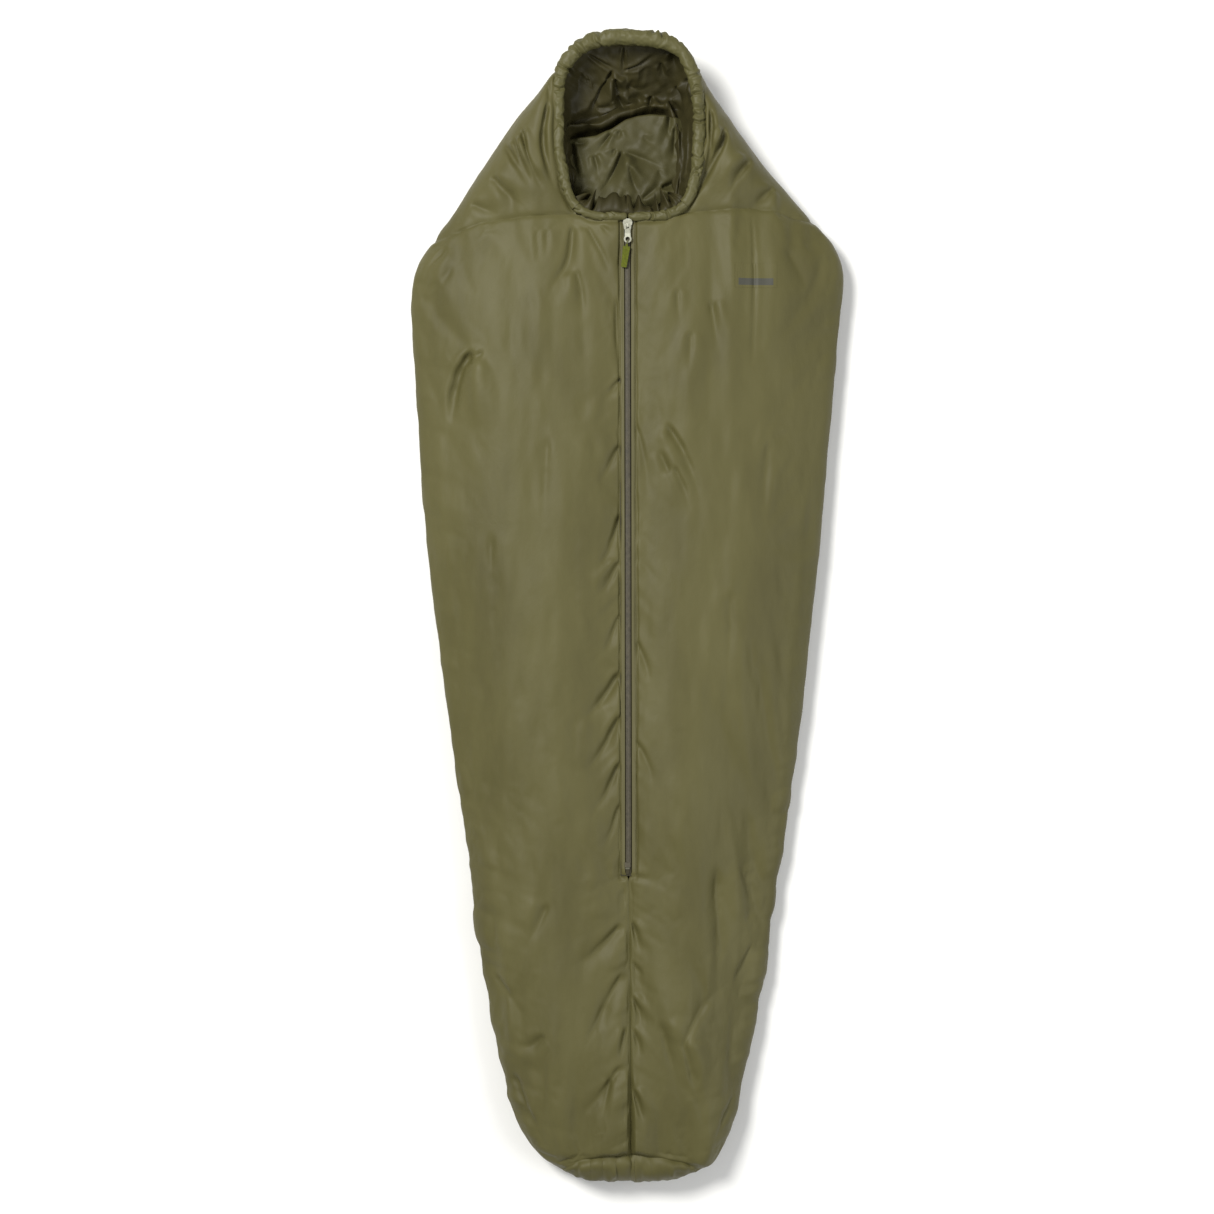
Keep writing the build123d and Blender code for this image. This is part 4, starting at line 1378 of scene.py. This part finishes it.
for side in (-1, 1):
    word = WORD[side]
    coil = flat_mesh(f"coil_{word}", *coil_half(side, STOP_TOP_Y, SLIDER_Y), COIL)
    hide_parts(f"zip_coil_{word}")
    crossing(coil, side)
    tape = cloth(f"tape_{word}", [tape_grid(side, ZIP_END_Y - 0.012, TAPE_TO_Y)], TAPE)
    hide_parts(f"zip_tape_{word}", f"zip_tape_end_{word}")
    crossing(tape, side)
    dashes = facing_stitches(side, ZIP_END_Y + 0.004, STITCH_TO_Y, surface_reader(TOP[side][:, :16]))
    thread = flat_mesh(f"facing_stitches_{word}", *dashes, THREAD)
    crossing(thread, side)

# ---- build: chest mark ----
low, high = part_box("chest_patch")
X, Y = np.meshgrid(np.linspace(low[0], high[0], 60), np.linspace(low[1], high[1], 40))
height_at = surface_reader(TOP[1][300:, 30:])
Z = height_at(np.stack([X.ravel(), Y.ravel()], 1)).reshape(X.shape) + 0.0006
patch = cloth("chest_patch_film", [np.stack([X, Y, Z], -1)], SHELL)
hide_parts("chest_patch")
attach(patch, "root")
patch.data.materials.append(MARK)
# the film's weave runs on from the cloth under it
corner = np.argmin(np.linalg.norm(TOP[1][..., :2] - np.array(low[:2]), axis=2))
woven_at = Vector((steps(TOP[1], 1).flat[corner], steps(TOP[1], 0).flat[corner]))
for loop in patch.data.uv_layers["cloth"].data:
    loop.uv += woven_at
BAR = (0.08, 0.92, 0.10, 0.38)  # the printed bar's left, right, foot and top, as shares of the film
for face in patch.data.polygons:
    x, y = ((face.center[k] - low[k]) / (high[k] - low[k]) for k in (0, 1))
    face.material_index = int(BAR[0] < x < BAR[1] and BAR[2] < y < BAR[3])

# ---- carried-over hardware ----
FINISH = {
    "slider_body": METAL, "slider_bridge": METAL, "pull_tab": METAL, "puller_loop": CORD,
    "puller_grip": GRIP, "zip_bottom_stop": STEEL, "zip_top_stop_left": STEEL,
    "zip_top_stop_right": STEEL, "zip_end_tab": TAPE, "zip_coil_end": COIL,
}
for name, material in FINISH.items():
    for slot in frame["nodes"][name].material_slots:
        slot.material = material

# ---- stage ----
floor = make_mesh("floor", [(-8, -8, 0), (8, -8, 0), (8, 8, 0), (-8, 8, 0)], [(0, 1, 2, 3)], FLOOR)
floor.location.z = -0.0005


def area_light(name, place, target, size, power, colour):
    light = bpy.data.lights.new(name, "AREA")
    light.shape, light.size, light.energy, light.color = "DISK", size, power, colour
    obj = bpy.data.objects.new(name, light)
    obj.location = place
    obj.rotation_euler = (Vector(target) - Vector(place)).to_track_quat("-Z", "Y").to_euler()
    bpy.context.scene.collection.objects.link(obj)


area_light("key", (-2.6, 2.2, 5.6), (0, 0.0, 0.1), 2.0, 448, (1.0, 0.99, 0.96))
area_light("fill", (2.8, -0.8, 3.0), (0, 0, 0.1), 2.2, 62, (0.97, 0.98, 1.0))
world = bpy.data.worlds.new("studio")
world.use_nodes = True
sky = world.node_tree.nodes["Background"].inputs
sky["Color"].default_value = (1, 1, 1, 1)
sky["Strength"].default_value = 0.41
bpy.context.scene.world = world
bpy.context.scene.view_settings.view_transform = "Standard"

# The frame is 2.31 m wide at the bag, seen from straight above through a long lens.
VIEW_WIDTH = 2.3104
lens = bpy.data.cameras.new("camera")
lens.lens, lens.sensor_width = 85, 36
camera = bpy.data.objects.new("camera", lens)
bpy.context.scene.collection.objects.link(camera)
camera.location = (-0.039, 0.001, 0.10 + VIEW_WIDTH * lens.lens / lens.sensor_width)
bpy.context.scene.camera = camera
